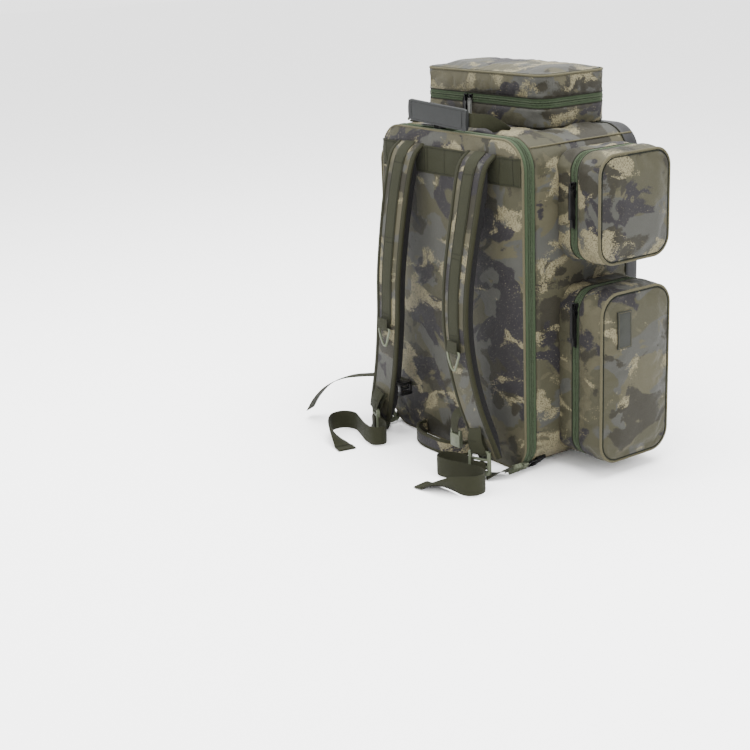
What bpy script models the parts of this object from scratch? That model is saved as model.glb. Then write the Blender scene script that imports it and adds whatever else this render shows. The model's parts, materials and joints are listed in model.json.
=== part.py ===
"""Tackle backpack: a standing camouflage rucksack whose whole back panel opens as a lid.

Metres, +Z up. The origin is under the middle of the main bag, on the floor. The lid with the
shoulder straps faces -Y, the two pockets are on +X, the long pocket on -X.
"""
import math

import bmesh
import bpy
from mathutils import Vector

# Main bag
WIDTH = 0.412
DEPTH = 0.285
HEIGHT = 0.610
CORNER = 0.055
WALL = 0.005
GAP = 0.0003
LID_FACE = -DEPTH / 2
FRONT_FACE = DEPTH / 2
FRONT_WRAP = 0.036
INSET = 0.0015
LID_SKIN = 0.004
TAPE_HALF = 0.0125
TAPE_WALL = 0.0025
ZIP_PLANE = LID_FACE + LID_SKIN + TAPE_HALF
CORNER_STEPS = 6

# Pockets: side of the bag they sit on, span, depth out of the bag, corner radius
POCKET_WALL = 0.003
POCKET_TAPE = 0.018
ZIP_SHARE = 0.43
TOP_ZIP_SHARE = 0.47

# Shoulder straps
STRAP_TOP_WIDTH = 0.078
STRAP_LOW_WIDTH = 0.062
COVER_THICK = 0.002
FOAM_THICK = 0.010
CENTRE_WEBBING = 0.030
WEBBING_THICK = 0.0012
ADJUSTER_WIDTH = 0.038
STERNUM_WIDTH = 0.025
BAND_LOW = 0.530
BAND_TOP = 0.580

SLIDER = (0.0115, 0.013, 0.007)
PULL_LENGTH = 0.050
SHORT_PULL = 0.034
PULL_THICK = 0.0025
STACK_LIFT = 0.0036
SLIDER_STARTS = (("upper", 0.516), ("lower", 0.301), ("side", 0.470))
TOP_SLIDER_X = -0.084
MAIN_SLIDER_X = -0.050

BASE_EDGE = 0.004
DOOR_EDGE = 0.007
LABEL_THICK = 0.0008
MOLLE_WIDTH = 0.025
MOLLE_MARGIN = 0.008
MOLLE_ROWS = (("molle_strip_low", 0.205), ("molle_strip_high", 0.405))
RING_WIRE = 0.0016

X_AXIS = Vector((1, 0, 0))
Y_AXIS = Vector((0, 1, 0))
Z_AXIS = Vector((0, 0, 1))

COLOURS = {
    "camo_fabric": ((0.20, 0.19, 0.13), 0.85, 0.0),
    "dark_panel": ((0.045, 0.047, 0.05), 0.6, 0.0),
    "olive_webbing": ((0.12, 0.125, 0.07), 0.8, 0.0),
    "zip_tape": ((0.10, 0.16, 0.09), 0.7, 0.0),
    "sage_plastic": ((0.42, 0.47, 0.36), 0.45, 0.0),
    "black_plastic": ((0.012, 0.012, 0.013), 0.4, 0.0),
    "dark_foam": ((0.05, 0.052, 0.056), 0.9, 0.0),
    "slate_grip": ((0.055, 0.062, 0.066), 0.55, 0.0),
    "blackened_metal": ((0.03, 0.03, 0.032), 0.35, 0.8),
}


def clear_scene():
    for obj in list(bpy.data.objects):
        bpy.data.objects.remove(obj)


def make_collection(name):
    collection = bpy.data.collections.new(name)
    bpy.context.scene.collection.children.link(collection)
    return collection


def make_material(name):
    colour, roughness, metallic = COLOURS[name]
    material = bpy.data.materials.new(name)
    material.use_nodes = True
    shader = material.node_tree.nodes["Principled BSDF"]
    shader.inputs["Base Color"].default_value = (*colour, 1.0)
    shader.inputs["Roughness"].default_value = roughness
    shader.inputs["Metallic"].default_value = metallic
    return material


def loft(name, rings, material, cyclic=False):
    """A closed solid through rings of points: capped at both ends, or joined end to start."""
    bm = bmesh.new()
    loops = [[bm.verts.new(point) for point in ring] for ring in rings]
    size = len(loops[0])
    pairs = list(zip(loops, loops[1:]))
    if cyclic:
        pairs.append((loops[-1], loops[0]))
    for low, high in pairs:
        for i in range(size):
            j = (i + 1) % size
            bm.faces.new((low[i], low[j], high[j], high[i]))
    if not cyclic:
        bm.faces.new(loops[0])
        bm.faces.new(loops[-1])
    bmesh.ops.recalc_face_normals(bm, faces=bm.faces)
    mesh = bpy.data.meshes.new(name)
    bm.to_mesh(mesh)
    bm.free()
    obj = bpy.data.objects.new(name, mesh)
    mesh.materials.append(MATERIALS[material])
    PARTS.objects.link(obj)
    return obj


def put_origin(obj, point):
    """Moves an object's origin onto its joint without moving its mesh."""
    point = Vector(point)
    for vertex in obj.data.vertices:
        vertex.co -= point
    obj.location = point
    return obj


def rounded_loop(width, height, radius, place):
    """Points round a rectangle with round corners; place(u, v) puts each in the world."""
    points = []
    for quarter, (su, sv) in enumerate(((1, 1), (-1, 1), (-1, -1), (1, -1))):
        centre_u = su * (width / 2 - radius)
        centre_v = sv * (height / 2 - radius)
        for step in range(CORNER_STEPS + 1):
            angle = math.pi / 2 * (quarter + step / CORNER_STEPS)
            points.append(place(centre_u + radius * math.cos(angle),
                                centre_v + radius * math.sin(angle)))
    return points


def side_place(side, middle, level):
    """Puts outline points on a plane facing one side of the bag, level metres along it."""
    mid_u, mid_v = middle
    if side in ("+X", "-X"):
        return lambda u, v: (level, mid_u + u, mid_v + v)
    if side in ("+Y", "-Y"):
        return lambda u, v: (mid_u + u, level, mid_v + v)
    return lambda u, v: (mid_u + u, mid_v + v, level)


def outline(side, middle, size, radius, level, inset=0.0):
    width, height = size
    return rounded_loop(width - 2 * inset, height - 2 * inset, max(radius - inset, 0.004),
                        side_place(side, middle, level))


def band(name, side, middle, size, radius, levels, wall, material):
    """An open ring of wall running round an outline."""
    start, end = levels
    rings = [
        outline(side, middle, size, radius, start),
        outline(side, middle, size, radius, end),
        outline(side, middle, size, radius, end, wall),
        outline(side, middle, size, radius, start, wall),
    ]
    return loft(name, rings, material, cyclic=True)


def pan(name, side, middle, size, radius, levels, wall, material, edge=0.008, steps=3):
    """A shallow box with one open side: levels are its open rim and its closed face."""
    rim, face = levels
    way = 1 if face > rim else -1
    outer = [outline(side, middle, size, radius, rim)]
    inner = [outline(side, middle, size, radius, rim, wall)]
    for step in range(steps + 1):
        angle = math.pi / 2 * step / steps
        drop = edge * (1 - math.sin(angle))
        tuck = edge * (1 - math.cos(angle))
        outer.append(outline(side, middle, size, radius, face - way * drop, tuck))
    inner.append(outline(side, middle, size, radius, face - way * (wall + edge * 0.5), wall))
    inner.append(outline(side, middle, size, radius, face - way * wall, wall + edge * 0.5))
    return loft(name, inner[::-1] + outer, material)


def plate(name, side, middle, size, radius, levels, material):
    start, end = levels
    rings = [outline(side, middle, size, radius, start), outline(side, middle, size, radius, end)]
    return loft(name, rings, material)


def box(name, low, high, material):
    (x0, y0, z0), (x1, y1, z1) = low, high
    rings = [[(x0, y0, z), (x1, y0, z), (x1, y1, z), (x0, y1, z)] for z in (z0, z1)]
    return loft(name, rings, material)


def smooth_route(points, spacing):
    """A smooth curve through the points of a route, sampled about every spacing metres."""
    route = [Vector(point) for point in points]
    route = [route[0] * 2 - route[1]] + route + [route[-1] * 2 - route[-2]]
    samples = []
    for before, start, end, after in zip(route, route[1:], route[2:], route[3:]):
        count = max(2, round((end - start).length / spacing))
        for step in range(count):
            t = step / count
            samples.append(0.5 * (2 * start + (end - before) * t
                                  + (2 * before - 5 * start + 4 * end - after) * t ** 2
                                  + (3 * start - before - 3 * end + after) * t ** 3))
    samples.append(route[-2])
    return samples


def directions(samples):
    ways = []
    for i in range(len(samples)):
        ahead = samples[min(i + 1, len(samples) - 1)]
        behind = samples[max(i - 1, 0)]
        ways.append((ahead - behind).normalized())
    return ways


def ribbon(name, samples, widths, thick, across, material, lift=0.0):
    """A flat strip along samples. across(t) is its width direction at share t of the way.

    lift moves the strip off the samples, towards the side its face looks at.
    """
    ways = directions(samples)
    last = len(samples) - 1
    rings = []
    for i, (centre, way) in enumerate(zip(samples, ways)):
        share = i / last
        wide = across(share)
        wide = (wide - way * wide.dot(way)).normalized()
        face = wide.cross(way).normalized()
        half = (widths[0] + (widths[1] - widths[0]) * share) / 2
        middle = centre + face * lift
        rings.append([
            middle - wide * half - face * thick / 2,
            middle + wide * half - face * thick / 2,
            middle + wide * half + face * thick / 2,
            middle - wide * half + face * thick / 2,
        ])
    return loft(name, rings, material)


def tube(name, samples, radius, material, sides=8, closed=False):
    """A round wire along samples that lie roughly in one plane."""
    rings = []
    ways = directions(samples)
    if closed:
        count = len(samples)
        ways = [(samples[(i + 1) % count] - samples[i - 1]).normalized() for i in range(count)]
    plane = sum(((p - samples[0]).cross(q - samples[0]) for p, q in zip(samples, samples[1:])),
                Vector())
    plane = plane.normalized()
    for centre, way in zip(samples, ways):
        out = way.cross(plane).normalized()
        rings.append([
            centre + radius * (math.cos(2 * math.pi * k / sides) * out
                               + math.sin(2 * math.pi * k / sides) * plane)
            for k in range(sides)
        ])
    return loft(name, rings, material, cyclic=closed)


def fuse(obj, extras):
    """Joins helper shapes to a part with exact Booleans; the helpers go with the cutters."""
    for extra in extras:
        PARTS.objects.unlink(extra)
        CUTTERS.objects.link(extra)
        extra.hide_render = True
        extra.display_type = "WIRE"
        joint = obj.modifiers.new("join", "BOOLEAN")
        joint.operation = "UNION"
        joint.solver = "EXACT"
        joint.object = extra
    return obj


BAG_MIDDLE = (0.0, HEIGHT / 2)
BAG_SIZE = (WIDTH, HEIGHT)
LID_SIZE = (WIDTH - 2 * INSET, HEIGHT - 2 * INSET)
LID_CORNER = CORNER - INSET
WRAP_START = FRONT_FACE - FRONT_WRAP


def build_main_bag():
    start = ZIP_PLANE + TAPE_HALF + 2 * GAP
    band("body_shell", "+Y", BAG_MIDDLE, BAG_SIZE, CORNER, (start, WRAP_START), WALL, "camo_fabric")
    pan("front_panel", "+Y", BAG_MIDDLE, BAG_SIZE, CORNER, (WRAP_START + GAP, FRONT_FACE), WALL,
        "dark_panel")
    band("zip_body", "+Y", BAG_MIDDLE, LID_SIZE, LID_CORNER, (ZIP_PLANE + GAP, start - GAP),
         TAPE_WALL, "zip_tape")


def build_lid():
    back = LID_FACE + LID_SKIN
    plate("lid_panel", "-Y", BAG_MIDDLE, LID_SIZE, LID_CORNER, (LID_FACE, back), "camo_fabric")
    foam_margin = 2 * (TAPE_WALL + 0.002)
    foam_size = (LID_SIZE[0] - foam_margin, LID_SIZE[1] - foam_margin)
    plate("lid_foam", "-Y", BAG_MIDDLE, foam_size, LID_CORNER - foam_margin / 2,
          (back + GAP, ZIP_PLANE - GAP), "dark_foam")
    band("zip_lid", "-Y", BAG_MIDDLE, LID_SIZE, LID_CORNER, (back + GAP, ZIP_PLANE - GAP),
         TAPE_WALL, "zip_tape")
    band_half = LID_SIZE[0] / 2 - 0.003
    front = LID_FACE - GAP
    box("webbing_band", (-band_half, front - WEBBING_THICK, BAND_LOW),
        (band_half, front, BAND_TOP), "olive_webbing")
    for obj in list(PARTS.objects):
        if obj.name.startswith("lid_") or obj.name in ("zip_lid", "webbing_band"):
            put_origin(obj, LID_HINGE)


LID_HINGE = (-WIDTH / 2, ZIP_PLANE, 0.0)

# Each pocket: side, level of the bag's wall, span across, span up, depth out, corner radius
POCKETS = {
    "upper": ("+X", WIDTH / 2, (-0.067, 0.103), (0.394, 0.586), 0.110, 0.036),
    "lower": ("+X", WIDTH / 2, (-0.065, 0.104), (0.029, 0.344), 0.115, 0.040),
    "side": ("-X", -WIDTH / 2, (-0.085, 0.090), (0.060, 0.560), 0.088, 0.038),
    "top": ("+Z", HEIGHT, (-0.217, 0.129), (-0.028, 0.138), 0.096, 0.030),
}


def pocket_frame(key):
    side, wall, across, up, depth, radius = POCKETS[key]
    way = -1 if side == "-X" else 1
    middle = ((across[0] + across[1]) / 2, (up[0] + up[1]) / 2)
    size = (across[1] - across[0], up[1] - up[0])
    share = TOP_ZIP_SHARE if key == "top" else ZIP_SHARE
    zip_level = wall + way * depth * share
    return side, wall, way, middle, size, depth, radius, zip_level


def pocket_hinge(key):
    """The pocket's fabric hinge: its +Y edge, at the door's side of the zip."""
    side, wall, way, middle, size, depth, radius, zip_level = pocket_frame(key)
    level = zip_level + way * (POCKET_TAPE / 2 + GAP / 2)
    if side == "+Z":
        return (middle[0], middle[1] + size[1] / 2, level)
    return (level, middle[0] + size[0] / 2, middle[1])


def build_pocket(key):
    side, wall, way, middle, size, depth, radius, zip_level = pocket_frame(key)
    tape = (zip_level - way * POCKET_TAPE / 2, zip_level + way * POCKET_TAPE / 2)
    pan(f"{key}_pocket_base", side, middle, size, radius,
        (tape[0] - way * GAP, wall + way * GAP), POCKET_WALL, "camo_fabric", edge=BASE_EDGE)
    tape_size = (size[0] - 2 * INSET, size[1] - 2 * INSET)
    band(f"{key}_pocket_zip", side, middle, tape_size, radius - INSET, tape, TAPE_WALL, "zip_tape")
    door = pan(f"{key}_pocket_door", side, middle, size, radius,
               (tape[1] + way * GAP, wall + way * depth), POCKET_WALL, "camo_fabric", edge=DOOR_EDGE)
    put_origin(door, pocket_hinge(key))


def build_pocket_trim():
    """The blank label of the lower pocket and the webbing rows of the long pocket."""
    face = WIDTH / 2 + POCKETS["lower"][4] + GAP
    label = box("label_patch", (face, -0.027, 0.245), (face + LABEL_THICK, -0.003, 0.312),
                "black_plastic")
    put_origin(label, pocket_hinge("lower"))
    face = -WIDTH / 2 - POCKETS["side"][4] - GAP
    low, high = POCKETS["side"][2]
    for name, middle in MOLLE_ROWS:
        strip = box(name, (face - WEBBING_THICK, low + MOLLE_MARGIN, middle - MOLLE_WIDTH / 2),
                    (face, high - MOLLE_MARGIN, middle + MOLLE_WIDTH / 2), "olive_webbing")
        put_origin(strip, pocket_hinge("side"))


def build_slider(name, point, outward, pull_way, stacked, pull_length):
    """A zip slider with its pull tab hanging flat: an L profile across its width."""
    long_half = SLIDER[1] / 2
    height = SLIDER[2] + (STACK_LIFT if stacked else 0.0)
    pull_level = height - PULL_THICK
    profile = [
        (-long_half, GAP),
        (long_half, GAP),
        (long_half, pull_level),
        (long_half + pull_length, pull_level),
        (long_half + pull_length, height),
        (-long_half, height),
    ]
    wide = outward.cross(pull_way) * SLIDER[0] / 2
    point = Vector(point)
    rings = [[point + side * wide + pull_way * along + outward * out for along, out in profile]
             for side in (-1, 1)]
    return put_origin(loft(name, rings, "black_plastic"), point)


def slider_places():
    """Each parked slider: name, point, outward way, pull way, stacked, pull length."""
    places = []
    spacing = SLIDER[1] + 0.001
    for key, start in SLIDER_STARTS:
        side, wall, way, middle, size, depth, radius, zip_level = pocket_frame(key)
        y = middle[0] - size[0] / 2 + INSET
        for name, z, stacked in (("a", start + spacing, True), ("b", start, False)):
            places.append((f"{key}_slider_{name}", (zip_level, y, z), -Y_AXIS, -Z_AXIS, stacked,
                           PULL_LENGTH))
    side, wall, way, middle, size, depth, radius, zip_level = pocket_frame("top")
    y = middle[1] - size[1] / 2 + INSET
    for name, x in (("a", TOP_SLIDER_X), ("b", TOP_SLIDER_X + spacing)):
        places.append((f"top_slider_{name}", (x, y, zip_level), -Y_AXIS, -Z_AXIS, False,
                       SHORT_PULL))
    top = HEIGHT - INSET
    for name, x, pull in (("a", MAIN_SLIDER_X, -X_AXIS), ("b", MAIN_SLIDER_X + spacing, X_AXIS)):
        places.append((f"main_slider_{name}", (x, ZIP_PLANE, top), Z_AXIS, pull, False, SHORT_PULL))
    return places


def build_sliders():
    for place in slider_places():
        build_slider(*place)


# The right strap's outer face: x, distance off the lid, z
STRAP_ROUTE = (
    (0.103, 0.006, 0.582),
    (0.103, 0.030, 0.558),
    (0.104, 0.050, 0.480),
    (0.102, 0.072, 0.350),
    (0.106, 0.076, 0.245),
    (0.130, 0.070, 0.138),
    (0.174, 0.057, 0.034),
)
V_RING_TOP = 0.232


def strap_samples(mirror):
    points = [(mirror * x, LID_FACE - off, z) for x, off, z in STRAP_ROUTE]
    return smooth_route(points, 0.022)


def along_x(share):
    return X_AXIS


def build_strap(word, mirror):
    samples = strap_samples(mirror)
    widths = (STRAP_TOP_WIDTH, STRAP_LOW_WIDTH)
    ribbon(f"strap_cover_{word}", samples, widths, COVER_THICK, along_x, "camo_fabric",
           lift=COVER_THICK / 2)
    foam = [point for point in samples if point.z < STRAP_ROUTE[1][2]]
    ribbon(f"strap_foam_{word}", foam, (widths[0] - 0.004, widths[1] - 0.004), FOAM_THICK,
           along_x, "dark_foam", lift=COVER_THICK + GAP + FOAM_THICK / 2)
    centre = [point for point in samples if point.z > V_RING_TOP + 0.004]
    ribbon(f"strap_webbing_{word}", centre, (CENTRE_WEBBING, CENTRE_WEBBING), WEBBING_THICK,
           along_x, "olive_webbing", lift=-GAP - WEBBING_THICK / 2)


def v_ring_hinge(mirror):
    return (mirror * 0.107, LID_FACE - 0.083, V_RING_TOP)


def build_v_ring(word, mirror):
    x, y, z = v_ring_hinge(mirror)
    route = [(x - 0.013, y, z), (x + 0.013, y, z), (x + 0.013, y, z - 0.006),
             (x + 0.003, y, z - 0.036), (x - 0.003, y, z - 0.036), (x - 0.013, y, z - 0.006)]
    wire = tube(f"v_ring_{word}", [Vector(point) for point in route], RING_WIRE,
                "sage_plastic", closed=True)
    put_origin(wire, (x, y, z))


LADDER = (0.163, LID_FACE - 0.0725, 0.031)
LADDER_SIZE = (0.044, 0.048)
LADDER_THICK = 0.009


def build_ladder_lock(word, mirror):
    x, y, z = mirror * LADDER[0], LADDER[1], LADDER[2]
    levels = (y - LADDER_THICK / 2, y + LADDER_THICK / 2)
    frame = band(f"ladder_lock_{word}", "-Y", (x, z), LADDER_SIZE, 0.009, levels, 0.005,
                 "sage_plastic")
    half = LADDER_SIZE[0] / 2 - 0.002
    bars = []
    for number, level in enumerate((0.007, -0.006)):
        bars.append(box(f"ladder_bar_{word}_{number}", (x - half, y - 0.003, z + level - 0.002),
                        (x + half, y + 0.003, z + level + 0.002), "sage_plastic"))
    fuse(frame, bars)
    tab = [(x - mirror * 0.014, LID_FACE - 0.0695, 0.088), (x - mirror * 0.008, y + 0.003, 0.072),
           (x - mirror * 0.004, y + 0.0020, 0.0605)]
    ribbon(f"strap_tab_{word}", smooth_route(tab, 0.008), (0.034, 0.030), 0.0024, along_x,
           "olive_webbing")


# The corner of the bag where the ring hangs: its surface point and outward way, right side
CORNER_OUT = Vector((1, 0, -1)).normalized()
CORNER_ALONG = Vector((1, 0, 1)).normalized()
CORNER_POINT = Vector((WIDTH / 2 - CORNER, 0, CORNER)) + CORNER_OUT * CORNER
RING_LIFT = 0.0050
RING_START = ZIP_PLANE + 0.0155
RING_LENGTH = 0.018
HOOK_LENGTH = 0.034


def mirrored(vector, mirror):
    return Vector((vector[0] * mirror, vector[1], vector[2]))


def corner_place(mirror, along, out, y):
    point = CORNER_POINT + CORNER_ALONG * along + CORNER_OUT * out
    return mirrored((point.x, y, point.z), mirror)


def corner_slab(name, mirror, half_width, outs, ys, material):
    """A flat piece lying along the bag's bottom corner."""
    rings = []
    for y in ys:
        rings.append([corner_place(mirror, -half_width, outs[0], y),
                      corner_place(mirror, half_width, outs[0], y),
                      corner_place(mirror, half_width, outs[1], y),
                      corner_place(mirror, -half_width, outs[1], y)])
    return loft(name, rings, material)


def build_corner_ring(word, mirror):
    tab_start = RING_START + 0.0025
    corner_slab(f"ring_tab_{word}", mirror, 0.011, (GAP, GAP + 0.0030),
                (tab_start, tab_start + 0.020), "black_plastic")
    half = 0.011
    ends = (RING_START, RING_START - RING_LENGTH)
    route = [(-half, ends[0]), (half, ends[0]), (half, ends[1] + 0.008), (half / 2, ends[1]),
             (-half / 2, ends[1]), (-half, ends[1] + 0.008)]
    points = [corner_place(mirror, along, RING_LIFT, y) for along, y in route]
    tube(f"d_ring_{word}", points, RING_WIRE, "blackened_metal", closed=True)
    hook_start = ends[1] - 0.0035
    corner_slab(f"snap_hook_{word}", mirror, 0.010, (RING_LIFT - 0.0035, RING_LIFT + 0.0035),
                (hook_start, hook_start - HOOK_LENGTH), "sage_plastic")
    hook_end = hook_start - HOOK_LENGTH
    start = corner_place(mirror, 0.0015, RING_LIFT - 0.002, hook_end - 0.0045)
    straight = corner_place(mirror, 0.0015, RING_LIFT - 0.002, hook_end - 0.010)
    route = [start, straight, mirrored((0.181, -0.190, 0.0085), mirror),
             mirrored((0.169, -0.206, 0.0040), mirror)]
    flat = mirrored((0.85, -0.52, 0.0), mirror)
    tilted = mirrored(CORNER_ALONG, mirror)
    ribbon(f"adjuster_webbing_{word}", smooth_route(route, 0.003),
           (0.030, ADJUSTER_WIDTH), WEBBING_THICK,
           lambda share: tilted.lerp(flat, share), "olive_webbing")


# Free webbing: each route is the middle of the strip, the tail's on the floor
TAIL_ROUTE = (
    (0.158, -0.2245),
    (0.132, -0.2240),
    (0.108, -0.2310),
    (0.092, -0.2470),
    (0.102, -0.2660),
    (0.132, -0.2640),
    (0.167, -0.2520),
    (0.200, -0.2420),
    (0.224, -0.2540),
    (0.226, -0.2800),
    (0.202, -0.3000),
    (0.160, -0.3100),
    (0.118, -0.3180),
)
STERNUM_ROUTE = (
    (-0.088, -0.178, 0.110),
    (-0.130, -0.177, 0.112),
    (-0.172, -0.182, 0.112),
    (-0.206, -0.206, 0.110),
    (-0.236, -0.236, 0.104),
    (-0.276, -0.252, 0.082),
    (-0.310, -0.260, 0.050),
    (-0.334, -0.264, 0.018),
)
TWIST_START = 0.72
TWIST_END = 0.94
FLOOR_GAP = 0.0025


def tail_turn(share):
    """The tail stands on its edge, then turns over to lie flat at its far end."""
    turn = (share - TWIST_START) / (TWIST_END - TWIST_START)
    return math.pi / 2 * min(max(turn, 0.0), 1.0)


def tail_samples(mirror):
    """The tail's middle line: its route on the floor, as high as its turn over needs."""
    samples = smooth_route([(mirror * x, y, 0.0) for x, y in TAIL_ROUTE], 0.010)
    across = tail_across(mirror)
    last = len(samples) - 1
    for i, (point, way) in enumerate(zip(samples, directions(samples))):
        wide = across(i / last)
        wide = (wide - way * wide.dot(way)).normalized()
        point.z = ADJUSTER_WIDTH / 2 * abs(wide.z) + FLOOR_GAP
    return samples


def tail_across(mirror):
    flat = Vector((-0.25 * mirror, -1.0, 0.0))
    return lambda share: flat * math.sin(tail_turn(share)) + Z_AXIS * math.cos(tail_turn(share))


def build_free_webbing():
    for word, mirror in SIDES:
        ribbon(f"webbing_tail_{word}", tail_samples(mirror),
               (ADJUSTER_WIDTH - 0.001, ADJUSTER_WIDTH - 0.001), WEBBING_THICK,
               tail_across(mirror), "olive_webbing")
    level = Vector((0.35, -0.94, 0.0))
    ribbon("sternum_webbing", smooth_route(STERNUM_ROUTE, 0.014),
           (STERNUM_WIDTH, STERNUM_WIDTH), WEBBING_THICK, lambda share: level, "olive_webbing")
    box("sternum_keeper", (-0.087, -0.214, 0.094), (-0.078, -0.166, 0.128), "black_plastic")
    box("sternum_buckle", (0.066, -0.207, 0.034), (0.094, -0.198, 0.070), "sage_plastic")


def build_bottom_handle():
    route = [(-0.088, LID_FACE - 0.0015, 0.017), (-0.084, -0.170, 0.016), (-0.050, -0.190, 0.016),
             (-0.012, -0.194, 0.016), (0.026, -0.190, 0.016), (0.056, -0.170, 0.016),
             (0.060, LID_FACE - 0.0015, 0.017)]
    ribbon("bottom_handle", smooth_route(route, 0.014), (0.028, 0.028), 0.003,
           lambda share: Z_AXIS, "camo_fabric")


HANDLE_HINGE = (-0.030, -0.100, HEIGHT + 0.002)
GRIP_ENDS = ((-0.121, -0.1360, 0.6410), (0.059, -0.1430, 0.6340))
GRIP_WIDTH = 0.040
GRIP_THICK = 0.0075


def build_grab_handle():
    start, end = (Vector(point) for point in GRIP_ENDS)
    line = [start.lerp(end, share / 4) for share in range(5)]
    grip = ribbon("handle_grip", line, (GRIP_WIDTH, GRIP_WIDTH), GRIP_THICK, lambda share: Z_AXIS,
                  "slate_grip")
    bevel = grip.modifiers.new("round", "BEVEL")
    bevel.width = 0.002
    bevel.segments = 2
    put_origin(grip, HANDLE_HINGE)
    behind = GRIP_THICK / 2 + 0.002
    route = [(0.098, -0.100, 0.6255), (0.090, -0.112, 0.627), (0.078, -0.129, 0.630)]
    route += [(point.x, point.y + behind, point.z) for point in reversed(line)]
    route += [(-0.138, -0.122, 0.638), (-0.150, -0.110, 0.630), (-0.158, -0.100, 0.6255)]
    strip = ribbon("handle_webbing", smooth_route(route, 0.012), (0.025, 0.025), 0.0015,
                   lambda share: Z_AXIS, "olive_webbing")
    put_origin(strip, HANDLE_HINGE)


SIDES = (("right", 1), ("left", -1))

clear_scene()
PARTS = make_collection("tackle_backpack")
CUTTERS = make_collection("cutters")
MATERIALS = {name: make_material(name) for name in COLOURS}
build_main_bag()
build_lid()
for pocket in POCKETS:
    build_pocket(pocket)
build_pocket_trim()
build_sliders()
for side_word, side_mirror in SIDES:
    build_strap(side_word, side_mirror)
    build_v_ring(side_word, side_mirror)
    build_ladder_lock(side_word, side_mirror)
    build_corner_ring(side_word, side_mirror)
build_free_webbing()
build_bottom_handle()
build_grab_handle()
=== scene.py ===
# %% [markdown]
# # A camouflage tackle backpack
# The backpack is a soft box of coated cloth on a stiff frame of sizes that never changes.
# The frame brings every body, hinge and size. This script only dresses it: cloth skins,
# piping, zips, webbing and moulded fittings, each riding on the body that it belongs to.

# %% Load the frame
import json
import math

import bmesh
import bpy
from mathutils import Matrix, Vector, noise
from mathutils.bvhtree import BVHTree

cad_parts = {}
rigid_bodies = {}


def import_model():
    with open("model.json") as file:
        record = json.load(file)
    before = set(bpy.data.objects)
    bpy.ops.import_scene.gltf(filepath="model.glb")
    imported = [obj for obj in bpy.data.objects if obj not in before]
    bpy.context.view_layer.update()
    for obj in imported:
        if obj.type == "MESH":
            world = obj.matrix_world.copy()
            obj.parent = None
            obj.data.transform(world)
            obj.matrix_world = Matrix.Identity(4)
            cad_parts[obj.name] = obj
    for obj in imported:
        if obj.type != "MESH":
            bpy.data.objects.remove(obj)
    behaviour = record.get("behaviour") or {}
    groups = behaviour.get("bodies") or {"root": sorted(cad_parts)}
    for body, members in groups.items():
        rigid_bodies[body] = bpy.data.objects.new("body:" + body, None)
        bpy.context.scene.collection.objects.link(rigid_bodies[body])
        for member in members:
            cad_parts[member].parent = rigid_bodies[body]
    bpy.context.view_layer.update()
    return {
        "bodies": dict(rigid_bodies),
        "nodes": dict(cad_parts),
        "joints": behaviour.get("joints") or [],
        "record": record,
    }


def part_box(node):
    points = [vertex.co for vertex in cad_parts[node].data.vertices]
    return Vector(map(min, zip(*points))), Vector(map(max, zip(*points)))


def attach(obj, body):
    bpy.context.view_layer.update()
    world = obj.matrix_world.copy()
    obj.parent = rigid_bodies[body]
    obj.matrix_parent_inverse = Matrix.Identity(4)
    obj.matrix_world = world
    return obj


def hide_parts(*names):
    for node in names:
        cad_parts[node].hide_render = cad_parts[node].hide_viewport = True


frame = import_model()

MM = 0.001

# %% [markdown]
# ## Sizes
# Every place is read from the frame's own pieces, so the cloth always fits what it covers.
# The bag stands on the floor, +Z is up, the lid with the straps looks towards -Y, and the
# two stacked pockets are on +X.

# %% Read the bag's main levels
def corners(node):
    """The low and high corner of one of the frame's pieces."""
    return [Vector(corner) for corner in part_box(node)]


shell_high = corners("body_shell")[1]
panel_low, panel_high = corners("front_panel")
lid_low, lid_high = corners("lid_panel")
BAG_HALF = shell_high.x
BAG_TOP = shell_high.z
LID_FACE = lid_low.y
LID_BACK = lid_high.y
FRONT_FACE = panel_high.y
WRAP_START = panel_low.y
CORNER = 55 * MM
UP = Vector((0, 0, 1))
ACROSS = Vector((1, 0, 0))
print("bag", round(2 * BAG_HALF, 3), "wide", round(BAG_TOP, 3), "high")

# %% [markdown]
# ## Camera
# A long lens from the strap side, a little above the bag. The same camera looks from the
# right-hand front corner, so the lid, the two stacked pockets and the top are all seen.

# %% Make the camera
CAMERA_PLACE = Vector((1.9763, -1.6882, 0.9556))
CAMERA_TURN = math.radians(55.4255)
CAMERA_RISE = math.radians(17.8038)
CAMERA_ROLL = math.radians(-2.5837)
LENS = 65.74


def make_camera():
    back = Vector((math.sin(CAMERA_TURN) * math.cos(CAMERA_RISE),
                   -math.cos(CAMERA_TURN) * math.cos(CAMERA_RISE),
                   math.sin(CAMERA_RISE)))
    right = Vector((math.cos(CAMERA_TURN), math.sin(CAMERA_TURN), 0))
    up = back.cross(right)
    rolled_right = right * math.cos(CAMERA_ROLL) + up * math.sin(CAMERA_ROLL)
    rolled_up = up * math.cos(CAMERA_ROLL) - right * math.sin(CAMERA_ROLL)
    turn = Matrix((rolled_right, rolled_up, back)).transposed().to_4x4()
    data = bpy.data.cameras.new("camera")
    data.lens = LENS
    data.sensor_width = 36
    camera = bpy.data.objects.new("camera", data)
    camera.matrix_world = Matrix.Translation(CAMERA_PLACE) @ turn
    bpy.context.scene.collection.objects.link(camera)
    bpy.context.scene.camera = camera


make_camera()
print("camera at", [round(v, 2) for v in CAMERA_PLACE])

# %% [markdown]
# ## Small shader tools
# Colours are easier to choose on a 0 to 255 scale, the way a dye house names them, so one
# helper turns them into the linear values that a shader works with. Two more helpers place
# a node and join it up, which keeps each finish below short.

# %% Colour and node helpers
REFLECTANCE = 0.235


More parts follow.
